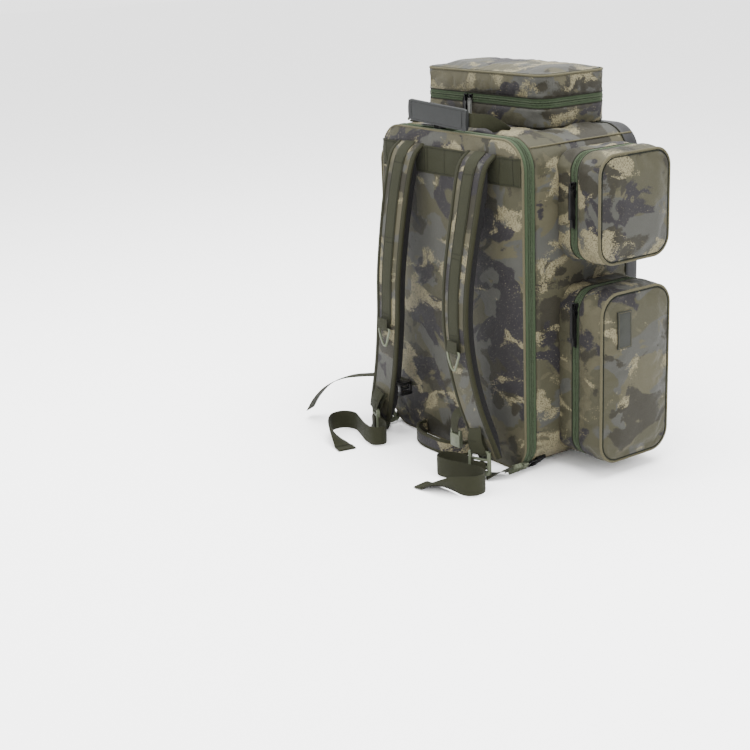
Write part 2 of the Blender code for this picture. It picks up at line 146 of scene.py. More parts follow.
def dye(red, green, blue):
    """A 0 to 255 colour, as it looks under the bright lamps, as linear RGBA."""
    def linear(value):
        value /= 255
        value = value / 12.92 if value <= 0.04045 else ((value + 0.055) / 1.055) ** 2.4
        return value * REFLECTANCE
    return (linear(red), linear(green), linear(blue), 1.0)


def add_node(tree, kind, **settings):
    """A new node: settings are its properties, or its inputs by name or number."""
    node = tree.nodes.new(kind)
    for key, value in settings.items():
        if hasattr(node, key):
            setattr(node, key, value)
        else:
            name = key.replace("_", " ")
            names = [socket.name.lower() for socket in node.inputs]
            node.inputs[names.index(name.lower())].default_value = value
    return node


def wire(tree, start, end):
    tree.links.new(start, end)


def maths(tree, operation, first, second=0.0, third=None):
    """A Math node whose inputs may be sockets or numbers; returns its output."""
    node = tree.nodes.new("ShaderNodeMath")
    node.operation = operation
    for index, value in enumerate((first, second, third)):
        if value is None:
            continue
        if hasattr(value, "links"):
            wire(tree, value, node.inputs[index])
        else:
            node.inputs[index].default_value = value
    return node.outputs[0]


def blend_colour(tree, share, first, second):
    """Mixes two colours, each a socket or a fixed colour, by a share from 0 to 1."""
    node = tree.nodes.new("ShaderNodeMix")
    node.data_type = "RGBA"
    for socket, value in ((node.inputs[0], share), (node.inputs[6], first), (node.inputs[7], second)):
        if hasattr(value, "links"):
            wire(tree, value, socket)
        else:
            socket.default_value = value
    return node.outputs[2]


def new_group(name, inputs, outputs):
    """A shader node group with named inputs (kind, name, value) and outputs (kind, name)."""
    group = bpy.data.node_groups.new(name, "ShaderNodeTree")
    for kind, label, value in inputs:
        socket = group.interface.new_socket(label, in_out="INPUT", socket_type=kind)
        if value is not None:
            socket.default_value = value
    for kind, label in outputs:
        group.interface.new_socket(label, in_out="OUTPUT", socket_type=kind)
    return group, group.nodes.new("NodeGroupInput"), group.nodes.new("NodeGroupOutput")


FLOAT, VECTOR, COLOUR = "NodeSocketFloat", "NodeSocketVector", "NodeSocketColor"
print("shader helpers ready")

# %% [markdown]
# ## Weave
# Close up, every cloth here is threads crossing over and under. Two trains of fine waves,
# one along and one across, multiplied together, make that grid. They run on the piece's own
# coordinates, slanted so that no face of the bag lies along them and loses its threads.
# The group gives a height for a bump, which the bands also use for painted shade in the
# weave's hollows, and a mask of the gaps between threads, which the cloth uses for painted shade.

# %% Weave group
def make_weave_group():
    group, given, result = new_group(
        "thread weave",
        [(FLOAT, "Threads", 900.0), (VECTOR, "Stretch", (1.0, 1.0, 1.0))],
        [(FLOAT, "Height"), (FLOAT, "Gap shade")])
    place = add_node(group, "ShaderNodeTexCoord")
    scaled = add_node(group, "ShaderNodeVectorMath", operation="MULTIPLY")
    wire(group, place.outputs["Object"], scaled.inputs[0])
    wire(group, given.outputs["Stretch"], scaled.inputs[1])
    apart = add_node(group, "ShaderNodeSeparateXYZ")
    wire(group, scaled.outputs[0], apart.inputs[0])
    x, y, z = apart.outputs
    warp = maths(group, "SINE", maths(group, "MULTIPLY", maths(group, "ADD", x, y),
                                      given.outputs["Threads"]))
    slant = maths(group, "MULTIPLY", maths(group, "SUBTRACT", x, y), 0.55)
    weft = maths(group, "SINE", maths(group, "MULTIPLY", maths(group, "ADD", z, slant),
                                      given.outputs["Threads"]))
    crossing = maths(group, "MULTIPLY", warp, weft)
    height = maths(group, "MULTIPLY_ADD", crossing, 0.5, 0.5)
    wire(group, height, result.inputs["Height"])
    # The gap mask is used for painted shade: the cloth is darkened in the gaps between threads.
    gap_shade_mask = maths(group, "LESS_THAN", height, 0.22)
    wire(group, gap_shade_mask, result.inputs["Gap shade"])
    return group


WEAVE = make_weave_group()
print("group:", WEAVE.name)

# %% [markdown]
# ## Camouflage print
# The print is blotches of a few dyes laid over each other: an olive ground, grey and khaki
# clouds, sand flakes with ragged speckled edges, and dark slate patches with pale pinholes.
# Each dye is a soft noise cut at one level. A finer noise is added before the cut, so the
# edge breaks up into flakes the way a rotary screen prints it.

# %% Camouflage group
def print_layer(group, place, shift, scale, level, ragged, stretch=(1, 1, 1), detail=3.0):
    """A mask of blotches: 1 inside, 0 outside, with a ragged edge."""
    moved = add_node(group, "ShaderNodeMapping")
    moved.inputs["Location"].default_value = shift
    moved.inputs["Scale"].default_value = stretch
    wire(group, place, moved.inputs["Vector"])
    cloud = add_node(group, "ShaderNodeTexNoise", Scale=scale, Detail=detail, Roughness=0.52,
                     Distortion=0.6)
    wire(group, moved.outputs[0], cloud.inputs["Vector"])
    flake = add_node(group, "ShaderNodeTexNoise", Scale=330.0, Detail=3.0, Roughness=0.75)
    wire(group, moved.outputs[0], flake.inputs["Vector"])
    broken = maths(group, "MULTIPLY_ADD", flake.outputs[0], ragged, cloud.outputs[0])
    cut = add_node(group, "ShaderNodeMapRange", From_Min=level + ragged / 2 - 0.006,
                   From_Max=level + ragged / 2 + 0.006)
    wire(group, broken, cut.inputs["Value"])
    return cut.outputs[0]


def make_camo_group():
    group, given, result = new_group(
        "camouflage print",
        [(VECTOR, "Shift", (0.0, 0.0, 0.0)), (FLOAT, "Dust", 0.12)],
        [(COLOUR, "Color"), (FLOAT, "Dark"), (FLOAT, "Crease")])
    place = add_node(group, "ShaderNodeTexCoord")
    moved = add_node(group, "ShaderNodeVectorMath", operation="ADD")
    wire(group, place.outputs["Object"], moved.inputs[0])
    wire(group, given.outputs["Shift"], moved.inputs[1])
    spot = moved.outputs[0]
    grey = print_layer(group, spot, (3.1, 0.4, 1.7), 7.0, 0.505, 0.02, (1, 1, 1.3))
    khaki = print_layer(group, spot, (7.9, 2.2, 0.3), 9.5, 0.550, 0.08, (1, 1, 1.4))
    brown = print_layer(group, spot, (0.7, 5.3, 4.4), 10.0, 0.580, 0.10, (1, 1, 1.3))
    slate = print_layer(group, spot, (5.5, 8.1, 2.9), 8.5, 0.580, 0.06, (1, 1, 1.1))
    sand = print_layer(group, spot, (2.3, 6.6, 9.2), 11.5, 0.580, 0.24, (1, 1, 1.5), 4.0)
    colour = blend_colour(group, grey, dye(92, 89, 66), dye(98, 98, 92))
    colour = blend_colour(group, khaki, colour, dye(110, 105, 80))
    colour = blend_colour(group, brown, colour, dye(58, 54, 40))
    colour = blend_colour(group, slate, colour, dye(46, 42, 49))
    colour = blend_colour(group, sand, colour, dye(184, 174, 136))
    fleck = add_node(group, "ShaderNodeTexNoise", Scale=520.0, Detail=2.0)
    wire(group, spot, fleck.inputs["Vector"])
    flecks = maths(group, "MULTIPLY", maths(group, "GREATER_THAN", fleck.outputs[0], 0.545), sand)
    colour = blend_colour(group, maths(group, "MULTIPLY", flecks, 0.75), colour, dye(84, 78, 56))
    pin = add_node(group, "ShaderNodeTexNoise", Scale=420.0, Detail=1.0)
    wire(group, spot, pin.inputs["Vector"])
    pinholes = maths(group, "MULTIPLY", maths(group, "GREATER_THAN", pin.outputs[0], 0.70), slate)
    colour = blend_colour(group, maths(group, "MULTIPLY", pinholes, 0.7), colour,
                          dye(170, 162, 138))
    haze = add_node(group, "ShaderNodeTexNoise", Scale=26.0, Detail=5.0, Roughness=0.6)
    wire(group, spot, haze.inputs["Vector"])
    dust = maths(group, "MULTIPLY", haze.outputs[0], given.outputs["Dust"])
    colour = blend_colour(group, dust, colour, dye(140, 138, 122))
    wire(group, colour, result.inputs["Color"])
    wire(group, slate, result.inputs["Dark"])
    wire(group, haze.outputs[0], result.inputs["Crease"])
    return group


CAMO = make_camo_group()
print("group:", CAMO.name)

# %% [markdown]
# ## Cloth finishes
# The main cloth is a woven polyester with a thin soft coating: it is dull, with a faint
# sheen at glancing angles, and the print is a little rougher where it is pale. The
# Principled shader stays in each material, and the groups only feed it.

# %% Camouflage cloth
def start_material(name, roughness, metallic=0.0):
    material = bpy.data.materials.new(name)
    material.use_nodes = True
    tree = material.node_tree
    shader = tree.nodes["Principled BSDF"]
    shader.inputs["Roughness"].default_value = roughness
    shader.inputs["Metallic"].default_value = metallic
    return material, tree, shader


def add_bump(tree, shader, height, strength, distance):
    bump = add_node(tree, "ShaderNodeBump", Strength=strength, Distance=distance)
    wire(tree, height, bump.inputs["Height"])
    wire(tree, bump.outputs[0], shader.inputs["Normal"])


def use_group(tree, group, **values):
    node = tree.nodes.new("ShaderNodeGroup")
    node.node_tree = group
    for key, value in values.items():
        node.inputs[key].default_value = value
    return node


def camo_cloth(name, shift, dust=0.12):
    material, tree, shader = start_material(name, 0.62)
    shader.inputs["Sheen Weight"].default_value = 0.02
    shader.inputs["Sheen Roughness"].default_value = 0.5
    shader.inputs["Specular IOR Level"].default_value = 0.12
    print_node = use_group(tree, CAMO, Shift=shift, Dust=dust)
    weave = use_group(tree, WEAVE, Threads=5200.0)
    # Painted shade: the gaps between the threads are darkened towards a dark olive.
    shaded = blend_colour(tree, maths(tree, "MULTIPLY", weave.outputs["Gap shade"], 0.16),
                          print_node.outputs["Color"], dye(40, 39, 32))
    wire(tree, shaded, shader.inputs["Base Color"])
    rough = maths(tree, "MULTIPLY_ADD", print_node.outputs["Crease"], 0.22, 0.50)
    wire(tree, rough, shader.inputs["Roughness"])
    relief = maths(tree, "MULTIPLY_ADD", print_node.outputs["Crease"], 3.0,
                   maths(tree, "MULTIPLY", weave.outputs["Height"], 0.25))
    add_bump(tree, shader, relief, 0.45, 0.0010)
    return material


camo_bag = camo_cloth("camouflage cloth of the bag", (0.00, 0.00, 0.00))
camo_lid = camo_cloth("camouflage cloth of the lid", (0.37, 0.21, 0.13))
camo_pockets = camo_cloth("camouflage cloth of the pockets", (0.71, 0.05, 0.48))
camo_top = camo_cloth("camouflage cloth of the top pocket", (0.19, 0.83, 0.36))
camo_straps = camo_cloth("camouflage cloth of the straps", (0.93, 0.47, 0.62))
print("five cuts of the same printed cloth")

# %% [markdown]
# ## Webbing, tape and binding
# Webbing is a thick plain weave with ribs along its length, so its bump is coarser than the
# cloth's, and its colour is painted darker in the weave's hollows as shade, with random light
# and dark flecks of noise over that. The zip tape is the same idea in a greener dye and a finer
# thread.

# %% Woven bands
def woven_band(name, colour, dark, threads, depth, roughness=0.78):
    material, tree, shader = start_material(name, roughness)
    shader.inputs["Sheen Weight"].default_value = 0.02
    shader.inputs["Specular IOR Level"].default_value = 0.08
    weave = use_group(tree, WEAVE, Threads=threads)
    place = add_node(tree, "ShaderNodeTexCoord")
    fleck = add_node(tree, "ShaderNodeTexNoise", Scale=700.0, Detail=2.0)
    wire(tree, place.outputs["Object"], fleck.inputs["Vector"])
    cloud = add_node(tree, "ShaderNodeTexNoise", Scale=18.0, Detail=3.0)
    wire(tree, place.outputs["Object"], cloud.inputs["Vector"])
    # Painted shade: low parts of the weave lean to the dark dye; fleck and cloud noise add random
    # tone.
    share = maths(tree, "MULTIPLY", weave.outputs["Height"], 0.75)
    share = maths(tree, "MULTIPLY_ADD", fleck.outputs[0], 0.45, share)
    share = maths(tree, "MULTIPLY_ADD", cloud.outputs[0], 0.35, maths(tree, "SUBTRACT", share, 0.22))
    node = tree.nodes.new("ShaderNodeClamp")
    wire(tree, share, node.inputs[0])
    wire(tree, blend_colour(tree, node.outputs[0], dark, colour), shader.inputs["Base Color"])
    add_bump(tree, shader, weave.outputs["Height"], 0.6, depth)
    return material


olive_webbing = woven_band("olive webbing", dye(78, 79, 57), dye(48, 50, 34), 3200.0, 0.0004)
olive_binding = woven_band("olive binding tape", dye(74, 74, 50), dye(44, 45, 29), 4200.0, 0.0003)
pale_piping = woven_band("piping in the bag's cloth", dye(142, 136, 108), dye(98, 94, 70), 4800.0,
                         0.0002)
dark_piping = woven_band("olive piping", dye(56, 57, 42), dye(34, 35, 25), 4800.0, 0.0002)
zip_tape = woven_band("green zip tape", dye(98, 116, 86), dye(70, 86, 60), 5200.0, 0.0003)
# The coil's pale green is partly its own colour and partly a painted highlight on its turns; its dark
# dye in the hollows is painted shade.
zip_coil_with_highlight = woven_band("green zip coil", dye(132, 148, 118), dye(84, 98, 72), 2600.0, 0.0003, 0.5)
# The zip stitching is dark thread drawn darker as shadowed in its groove, and the same dark is the
# painted seam shadow inside each pocket's piping.
stitch_and_seam_shadow = woven_band("shadowed zip stitching", dye(34, 44, 29), dye(18, 24, 15), 2600.0, 0.0003)
stitch_thread = woven_band("stitching thread", dye(40, 41, 27), dye(24, 25, 16), 6000.0, 0.0002)
black_tape = woven_band("black webbing tape", dye(24, 24, 23), dye(13, 13, 13), 3200.0, 0.0003)
strap_mesh = woven_band("dark spacer mesh", dye(50, 49, 49), dye(22, 22, 22), 2100.0, 0.0008, 0.85)
lining_cloth = woven_band("dark lining cloth", dye(50, 51, 48), dye(32, 33, 31), 5200.0, 0.0002)
print("woven bands made")

# %% [markdown]
# ## Coated panel, rubber grip and mouldings
# The front panel is heavy tarpaulin: smooth, dark, with a soft leathery grain. The grip is
# rubberised and matt. The buckles are nylon, dull with a fine spark-eroded grain and a
# slightly brighter worn edge from a cloud of wear.

# %% Grained finishes
def grained(name, colour, worn, roughness, scale, depth, coat=0.0, metallic=0.0):
    material, tree, shader = start_material(name, roughness, metallic)
    shader.inputs["Coat Weight"].default_value = coat
    shader.inputs["Specular IOR Level"].default_value = 0.22
    shader.inputs["Coat Roughness"].default_value = 0.4
    place = add_node(tree, "ShaderNodeTexCoord")
    grain = add_node(tree, "ShaderNodeTexNoise", Scale=scale, Detail=3.0, Roughness=0.6)
    wire(tree, place.outputs["Object"], grain.inputs["Vector"])
    cloud = add_node(tree, "ShaderNodeTexNoise", Scale=30.0, Detail=4.0)
    wire(tree, place.outputs["Object"], cloud.inputs["Vector"])
    wear = add_node(tree, "ShaderNodeMapRange", From_Min=0.45, From_Max=0.75)
    wire(tree, cloud.outputs[0], wear.inputs["Value"])
    wire(tree, blend_colour(tree, wear.outputs[0], colour, worn), shader.inputs["Base Color"])
    rough = maths(tree, "MULTIPLY_ADD", cloud.outputs[0], 0.25, roughness - 0.12)
    wire(tree, rough, shader.inputs["Roughness"])
    add_bump(tree, shader, grain.outputs[0], 0.5, depth)
    return material


tarpaulin = grained("dark tarpaulin", dye(40, 40, 42), dye(55, 56, 58), 0.55, 420.0, 0.0006)
grip_rubber = grained("slate grip rubber", dye(42, 45, 45), dye(52, 55, 54), 0.62, 900.0, 0.0004)
sage_nylon = grained("pale sage nylon", dye(134, 142, 114), dye(156, 162, 138), 0.48, 1500.0, 0.0002)
black_nylon = grained("black nylon", dye(20, 20, 21), dye(38, 38, 38), 0.42, 1500.0, 0.0002)
grey_pull = grained("pale grey pull", dye(164, 165, 160), dye(138, 139, 134), 0.5, 1500.0, 0.0002)
black_steel = grained("blackened steel", dye(36, 36, 37), dye(62, 62, 62), 0.38, 1500.0, 0.0001,
                      metallic=0.8)
label_rubber = grained("blank rubber label", dye(34, 38, 26), dye(46, 50, 34), 0.5, 800.0, 0.0003)
print("mouldings made")

# %% [markdown]
# ## Mesh tools for sewn boxes
# Each pocket and the bag itself is a shallow tray of cloth with round corners. A square
# grid is bent onto a round-cornered outline, so the cloth has even little squares that
# wrinkle well, instead of a fan of triangles. The same outline runs down the walls in rings.

# %% Outline and tray helpers
def to_outline(s, t, width, height, radius):
    """A point of the -1..1 square, bent onto a rectangle with round corners."""
    a = abs(s) * width / 2
    b = abs(t) * height / 2
    corner_a = width / 2 - radius
    corner_b = height / 2 - radius
    if a > corner_a and b > corner_b:
        u = (a - corner_a) / radius
        v = (b - corner_b) / radius
        a = corner_a + radius * u * math.sqrt(1 - v * v / 2)
        b = corner_b + radius * v * math.sqrt(1 - u * u / 2)
    return math.copysign(a, s), math.copysign(b, t)


def facing(side, middle):
    """Turns (across, up, level) into a world point for a panel on one side of the bag."""
    mid_u, mid_v = middle
    if side in ("+X", "-X"):
        return lambda u, v, level: Vector((level, mid_u + u, mid_v + v))
    if side in ("+Y", "-Y"):
        return lambda u, v, level: Vector((mid_u + u, level, mid_v + v))
    return lambda u, v, level: Vector((mid_u + u, mid_v + v, level))


def rim_steps(size, step):
    """(s, t) round the edge of the grid square, anticlockwise, about step apart."""
    width, height = size
    across = max(6, round(width / step))
    up = max(6, round(height / step))
    walk = [(-1 + 2 * i / across, -1) for i in range(across)]
    walk += [(1, -1 + 2 * i / up) for i in range(up)]
    walk += [(1 - 2 * i / across, 1) for i in range(across)]
    walk += [(-1, 1 - 2 * i / up) for i in range(up)]
    return across, up, walk


def loop_round(side, middle, size, radius, level, inset=0.0, step=6 * MM):
    """Points round a round-cornered outline."""
    place = facing(side, middle)
    width, height = size[0] - 2 * inset, size[1] - 2 * inset
    walk = rim_steps(size, step)[2]
    return [place(*to_outline(s, t, width, height, max(radius - inset, 2 * MM)), level)
            for s, t in walk]


def join_rings(bm, rings):
    """Skins a row of closed rings that all have as many points."""
    for low, high in zip(rings, rings[1:]):
        for i in range(len(low)):
            j = (i + 1) % len(low)
            bm.faces.new((low[i], low[j], high[j], high[i]))


def finish_mesh(name, bm, materials, smooth=True):
    bmesh.ops.recalc_face_normals(bm, faces=bm.faces)
    mesh = bpy.data.meshes.new(name)
    bm.to_mesh(mesh)
    bm.free()
    for material in materials:
        mesh.materials.append(material)
    if smooth:
        mesh.shade_smooth()
    obj = bpy.data.objects.new(name, mesh)
    bpy.context.scene.collection.objects.link(obj)
    return obj


def place_on(obj, body, slot_name, *nodes):
    """Fixes a piece to its body, in place of the frame's pieces named in nodes; slot_name is not
    used.
    """
    if nodes:
        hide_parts(*nodes)
    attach(obj, body)


def sewn_tray(name, side, middle, size, radius, rim, face, edge, crown, belly, materials,
              step=6 * MM, edge_steps=3, hollow=False):
    """A tray of cloth: a crowned face, a rounded edge, and walls down to an open rim.

    A hollow tray has no face: its walls are sewn to what lies behind it.
    """
    place = facing(side, middle)
    way = 1 if face > rim else -1
    across, up, walk = rim_steps(size, step)
    bm = bmesh.new()
    layer = bm.verts.layers.deform.verify()
    grid = {}
    for i in range(across + 1):
        for j in range(up + 1):
            s, t = -1 + 2 * i / across, -1 + 2 * j / up
            u, v = to_outline(s, t, size[0] - 2 * edge, size[1] - 2 * edge,
                              max(radius - edge, 3 * MM))
            rise = crown * ((1 - s ** 4) * (1 - t ** 4)) ** 0.7
            grid[i, j] = bm.verts.new(place(u, v, face + way * rise))
    for i in range(across):
        for j in range(up):
            bm.faces.new((grid[i, j], grid[i + 1, j], grid[i + 1, j + 1], grid[i, j + 1]))
    ring = [grid[round((s + 1) / 2 * across), round((t + 1) / 2 * up)] for s, t in walk]
    for vertex in ring:
        vertex[layer][0] = 1.0
    if hollow:
        inner = [vertex for vertex in grid.values() if vertex not in set(ring)]
        bmesh.ops.delete(bm, geom=inner, context="VERTS")
    levels = []
    for k in range(1, edge_steps + 1):
        turn = math.pi / 2 * k / edge_steps
        levels.append((face - way * edge * (1 - math.cos(turn)), edge * (1 - math.sin(turn)), 0))
    depth = abs(face - rim) - edge
    rows = max(2, round(depth / step))
    for k in range(1, rows + 1):
        share = k / rows
        levels.append((face - way * (edge + depth * share), 0, math.sin(math.pi * share)))
    for number, (level, inset, swell) in enumerate(levels):
        row = []
        for s, t in walk:
            out = belly * swell * (1 - min(abs(s), abs(t)) ** 3)
            u, v = to_outline(s, t, size[0] - 2 * (inset - out), size[1] - 2 * (inset - out),
                              max(radius - inset, 3 * MM))
            vertex = bm.verts.new(place(u, v, level))
            vertex[layer][0] = 1.0 if number < edge_steps else 0.0
            row.append(vertex)
        for i in range(len(row)):
            j = (i + 1) % len(row)
            bm.faces.new((ring[i], ring[j], row[j], row[i]))
        ring = row
    for vertex in ring:
        vertex[layer][0] = 1.0
    obj = finish_mesh(name, bm, materials)
    obj.vertex_groups.new(name="sewn")
    return obj


def cloth_thickness(obj, thickness=1.6 * MM):
    """Gives a cloth skin its thickness, inwards, with the lining on the inside."""
    solid = obj.modifiers.new("thickness", "SOLIDIFY")
    solid.thickness = thickness
    solid.offset = -1
    if len(obj.data.materials) > 1:
        solid.material_offset = 1
        solid.material_offset_rim = 0


print("tray tools ready")

# %% [markdown]
# ## Letting cloth settle
# Real panels are cut a little larger than the frame that they are sewn to, so they pillow
# and crease between their seams. Cloth simulation gives that: the seams are pinned, the
# cloth is let out by a few percent with a little air behind it, and after some frames the
# result is kept as the mesh. A cap on the movement keeps each panel near its true size.

# %% Cloth settling helper
def settle(obj, let_out, air, cap, frames=16, floor=None):
    scene = bpy.context.scene
    before = [vertex.co.copy() for vertex in obj.data.vertices]
    cloth = obj.modifiers.new("settle", "CLOTH")
    cloth.settings.quality = 6
    cloth.settings.mass = 0.25
    cloth.settings.tension_stiffness = 20
    cloth.settings.compression_stiffness = 20
    cloth.settings.shear_stiffness = 8
    cloth.settings.bending_stiffness = 0.6
    cloth.settings.vertex_group_mass = "sewn"
    cloth.settings.shrink_min = -let_out
    cloth.settings.use_pressure = True
    cloth.settings.uniform_pressure_force = air
    cloth.settings.effector_weights.gravity = 0
    cloth.point_cache.frame_start = 1
    cloth.point_cache.frame_end = frames
    for frame_number in range(1, frames + 1):
        scene.frame_set(frame_number)
    graph = bpy.context.evaluated_depsgraph_get()
    settled = obj.evaluated_get(graph).to_mesh()
    for vertex, start, moved in zip(obj.data.vertices, before, settled.vertices):
        shift = moved.co - start
        if shift.length > cap:
            shift *= cap / shift.length
        vertex.co = start + shift
        if floor is not None:
            vertex.co.z = max(vertex.co.z, floor)
    obj.evaluated_get(graph).to_mesh_clear()
    obj.modifiers.remove(cloth)
    scene.frame_set(1)
    most = max((v.co - s).length for v, s in zip(obj.data.vertices, before))
    print(obj.name, "settled by up to", round(most / MM, 1), "mm")


def crumple(obj, amount, size, seed, held="sewn"):
    """Adds shallow random creases, fading to nothing at the sewn edges."""
    group = obj.vertex_groups.get(held)
    index = group.index if group else -1
    normals = [vertex.normal.copy() for vertex in obj.data.vertices]
    for vertex, normal in zip(obj.data.vertices, normals):
        if any(g.group == index and g.weight > 0.5 for g in vertex.groups):
            continue
        spot = vertex.co / size + Vector((seed, seed * 0.7, -seed))
        value = noise.noise(spot) + 0.5 * noise.noise(spot * 2.3)
        vertex.co += normal * amount * value


print("cloth tools ready")

# %% [markdown]
# ## Strips, wires and rows of stitches
# Webbing, binding and zip tape are all strips: one flat section carried along a route.
# Piping and rings are round wires. A row of stitches is a set of tiny rounded bars, each
# laid along the seam with a gap to the next.

# %% Strip, wire and stitch helpers
def smooth_route(points, spacing):
    """A smooth curve through the points of a route, sampled about every spacing metres."""
    route = [Vector(point) for point in points]
    route = [route[0] * 2 - route[1]] + route + [route[-1] * 2 - route[-2]]
    samples = []
    for before, start, end, after in zip(route, route[1:], route[2:], route[3:]):
        count = max(2, round((end - start).length / spacing))
        for step in range(count):
            t = step / count
            samples.append(0.5 * (2 * start + (end - before) * t
                                  + (2 * before - 5 * start + 4 * end - after) * t ** 2
                                  + (3 * start - before - 3 * end + after) * t ** 3))
    samples.append(route[-2])
    return samples


def frames_along(samples, across):
    """(point, along, across, face) at each sample; across(share) is the wanted width way."""
    last = len(samples) - 1
    result = []
    for i, point in enumerate(samples):
        way = (samples[min(i + 1, last)] - samples[max(i - 1, 0)]).normalized()
        wide = across(i / last)
        wide = (wide - way * wide.dot(way)).normalized()
        result.append((point, way, wide, wide.cross(way).normalized()))
    return result


def add_strip(bm, frames, section, material_index=0):
    """Lofts a closed section of (across, out) points along the frames, with capped ends."""
    rings = [[bm.verts.new(point + wide * u + face * w) for u, w in section]
             for point, way, wide, face in frames]
    size = len(section)
    faces = []
    for low, high in zip(rings, rings[1:]):
        for i in range(size):
            j = (i + 1) % size
            faces.append(bm.faces.new((low[i], low[j], high[j], high[i])))
    faces.append(bm.faces.new(rings[0][::-1]))
    faces.append(bm.faces.new(rings[-1]))
    for face in faces:
        face.material_index = material_index


def band_section(width, thick, lift=0.0, steps=6, crown=0.0, centre=0.0):
    """A flat woven band's section: thin, with soft selvedge edges."""
    top, under = [], []
    for k in range(steps + 1):
        s = -1 + 2 * k / steps
        thin = thick / 2 * (0.45 if k in (0, steps) else 1.0)
        rise = lift + crown * (1 - s * s)
        top.append((centre + s * width / 2, rise - thin))
        under.append((centre + s * width / 2, rise + thin))
    return top + under[::-1]


def strip(name, samples, across, section, material):
    bm = bmesh.new()
    add_strip(bm, frames_along(samples, across), section)
    obj = finish_mesh(name, bm, [material])
    obj.data.set_sharp_from_angle(angle=math.radians(50))
    return obj


def wire_piece(name, points, radius, material, closed=False, sides=2):
    """A round wire or cord of piping through the points."""
    curve = bpy.data.curves.new(name, "CURVE")
    curve.dimensions = "3D"
    curve.bevel_depth = radius
    curve.bevel_resolution = sides
    curve.use_fill_caps = True
    spline = curve.splines.new("POLY")
    spline.points.add(len(points) - 1)
    for target, point in zip(spline.points, points):
        target.co = (*point, 1)
    spline.use_cyclic_u = closed
    curve.materials.append(material)
    obj = bpy.data.objects.new(name, curve)
    bpy.context.scene.collection.objects.link(obj)
    return obj


def add_bar(bm, centre, along, out, length, width, height):
    """One small rounded bar, such as a stitch or a zip tooth."""
    side = along.cross(out).normalized()
    rings = []
    for share, slim in ((-0.5, 0.55), (-0.3, 1.0), (0.3, 1.0), (0.5, 0.55)):
        spot = centre + along * length * share
        rings.append([bm.verts.new(spot + side * width / 2 * slim * a + out * height * slim * b)
                      for a, b in ((-1, 0), (-0.6, 0.9), (0.6, 0.9), (1, 0), (0, -0.4))])
    join_rings(bm, rings)
    bm.faces.new(rings[0])
    bm.faces.new(rings[-1])


def spaced(points, pitch, closed=False):
    """Even steps of pitch along a line of points: (point, way) pairs."""
    line = list(points) + ([points[0]] if closed else [])
    result = []
    wait = pitch / 2
    for start, end in zip(line, line[1:]):
        length = (end - start).length
        if length < 1e-7:
            continue
        way = (end - start) / length
        travelled = wait
        while travelled < length:
            result.append((start + way * travelled, way))
            travelled += pitch
        wait = travelled - length
    return result


print("strip, wire and stitch tools ready")

# %% [markdown]
# ## The bag's own walls
# The main bag is a tube of camouflage cloth between the zip and the dark front panel. The
# top sags a little in the middle, the sides swell, and the bottom stays flat on the floor.
# A lofted tube of even squares, pinned at both seams, is let out and left to settle.

# %% Gusset and front panel
BAG_MIDDLE = (0.0, BAG_TOP / 2)
BAG_SIZE = (2 * BAG_HALF, BAG_TOP)
ZIP_BODY_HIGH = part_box("zip_body")[1][1]


def make_gusset():
    start, end = ZIP_BODY_HIGH - 1 * MM, WRAP_START + 2 * MM
    rows = 26
    place = facing("+Y", BAG_MIDDLE)
    walk = rim_steps(BAG_SIZE, 9 * MM)[2]
    bm = bmesh.new()
    layer = bm.verts.layers.deform.verify()
    rings = []
    for k in range(rows + 1):
        share = k / rows
        swell = math.sin(math.pi * share) ** 0.8
        ring = []
        for s, t in walk:
            u, v = to_outline(s, t, *BAG_SIZE, CORNER)
            if abs(s) >= abs(t):
                u += math.copysign(3.5 * MM * swell * (1 - t ** 4), s)
            elif t > 0:
                v -= 5 * MM * swell * (1 - s ** 4)
            vertex = bm.verts.new(place(u, v, start + (end - start) * share))
            seam = k in (0, rows) or t <= -1 or (abs(s) > 0.86 and abs(t) > 0.92)
            vertex[layer][0] = 1.0 if seam else 0.0
            ring.append(vertex)
        rings.append(ring)
    join_rings(bm, rings)
    gusset = finish_mesh("bag_gusset", bm, [camo_bag, lining_cloth])
    gusset.vertex_groups.new(name="sewn")
    return gusset


gusset = make_gusset()
settle(gusset, 0.015, 1.2, 7 * MM, floor=0.3 * MM)
crumple(gusset, 1.6 * MM, 0.07, 4.0)
cloth_thickness(gusset, 2.5 * MM)
place_on(gusset, "bag", "camo_fabric", "body_shell")

front_panel = sewn_tray("front_tarpaulin", "+Y", BAG_MIDDLE, BAG_SIZE, CORNER, WRAP_START,
                        FRONT_FACE, 9 * MM, 3 * MM, 0.0, [tarpaulin, lining_cloth], step=10 * MM)
crumple(front_panel, 1.0 * MM, 0.12, 9.0)
cloth_thickness(front_panel, 3 * MM)
place_on(front_panel, "bag", "dark_panel", "front_panel")
print("gusset and front panel made")

# %% [markdown]
# ## Seams round the bag
# Where two panels meet, a thin cord covered in cloth is sewn into the seam. It draws the
# bag's edges as clean lines, so it is worth a real round wire. One runs round the joint of
# cloth and tarpaulin, and one along each of the two top long corners of the bag.

# %% Bag piping
def corner_line(sx, sz, start, end, lift):
    """A line along one of the bag's four long corners."""
    out = Vector((sx, 0, sz)).normalized()
    centre = Vector((sx * (BAG_HALF - CORNER), 0, BAG_TOP / 2 + sz * (BAG_TOP / 2 - CORNER)))
    count = 24
    return [centre + out * (CORNER + lift) + Vector((0, start + (end - start) * k / count, 0))
            for k in range(count + 1)]


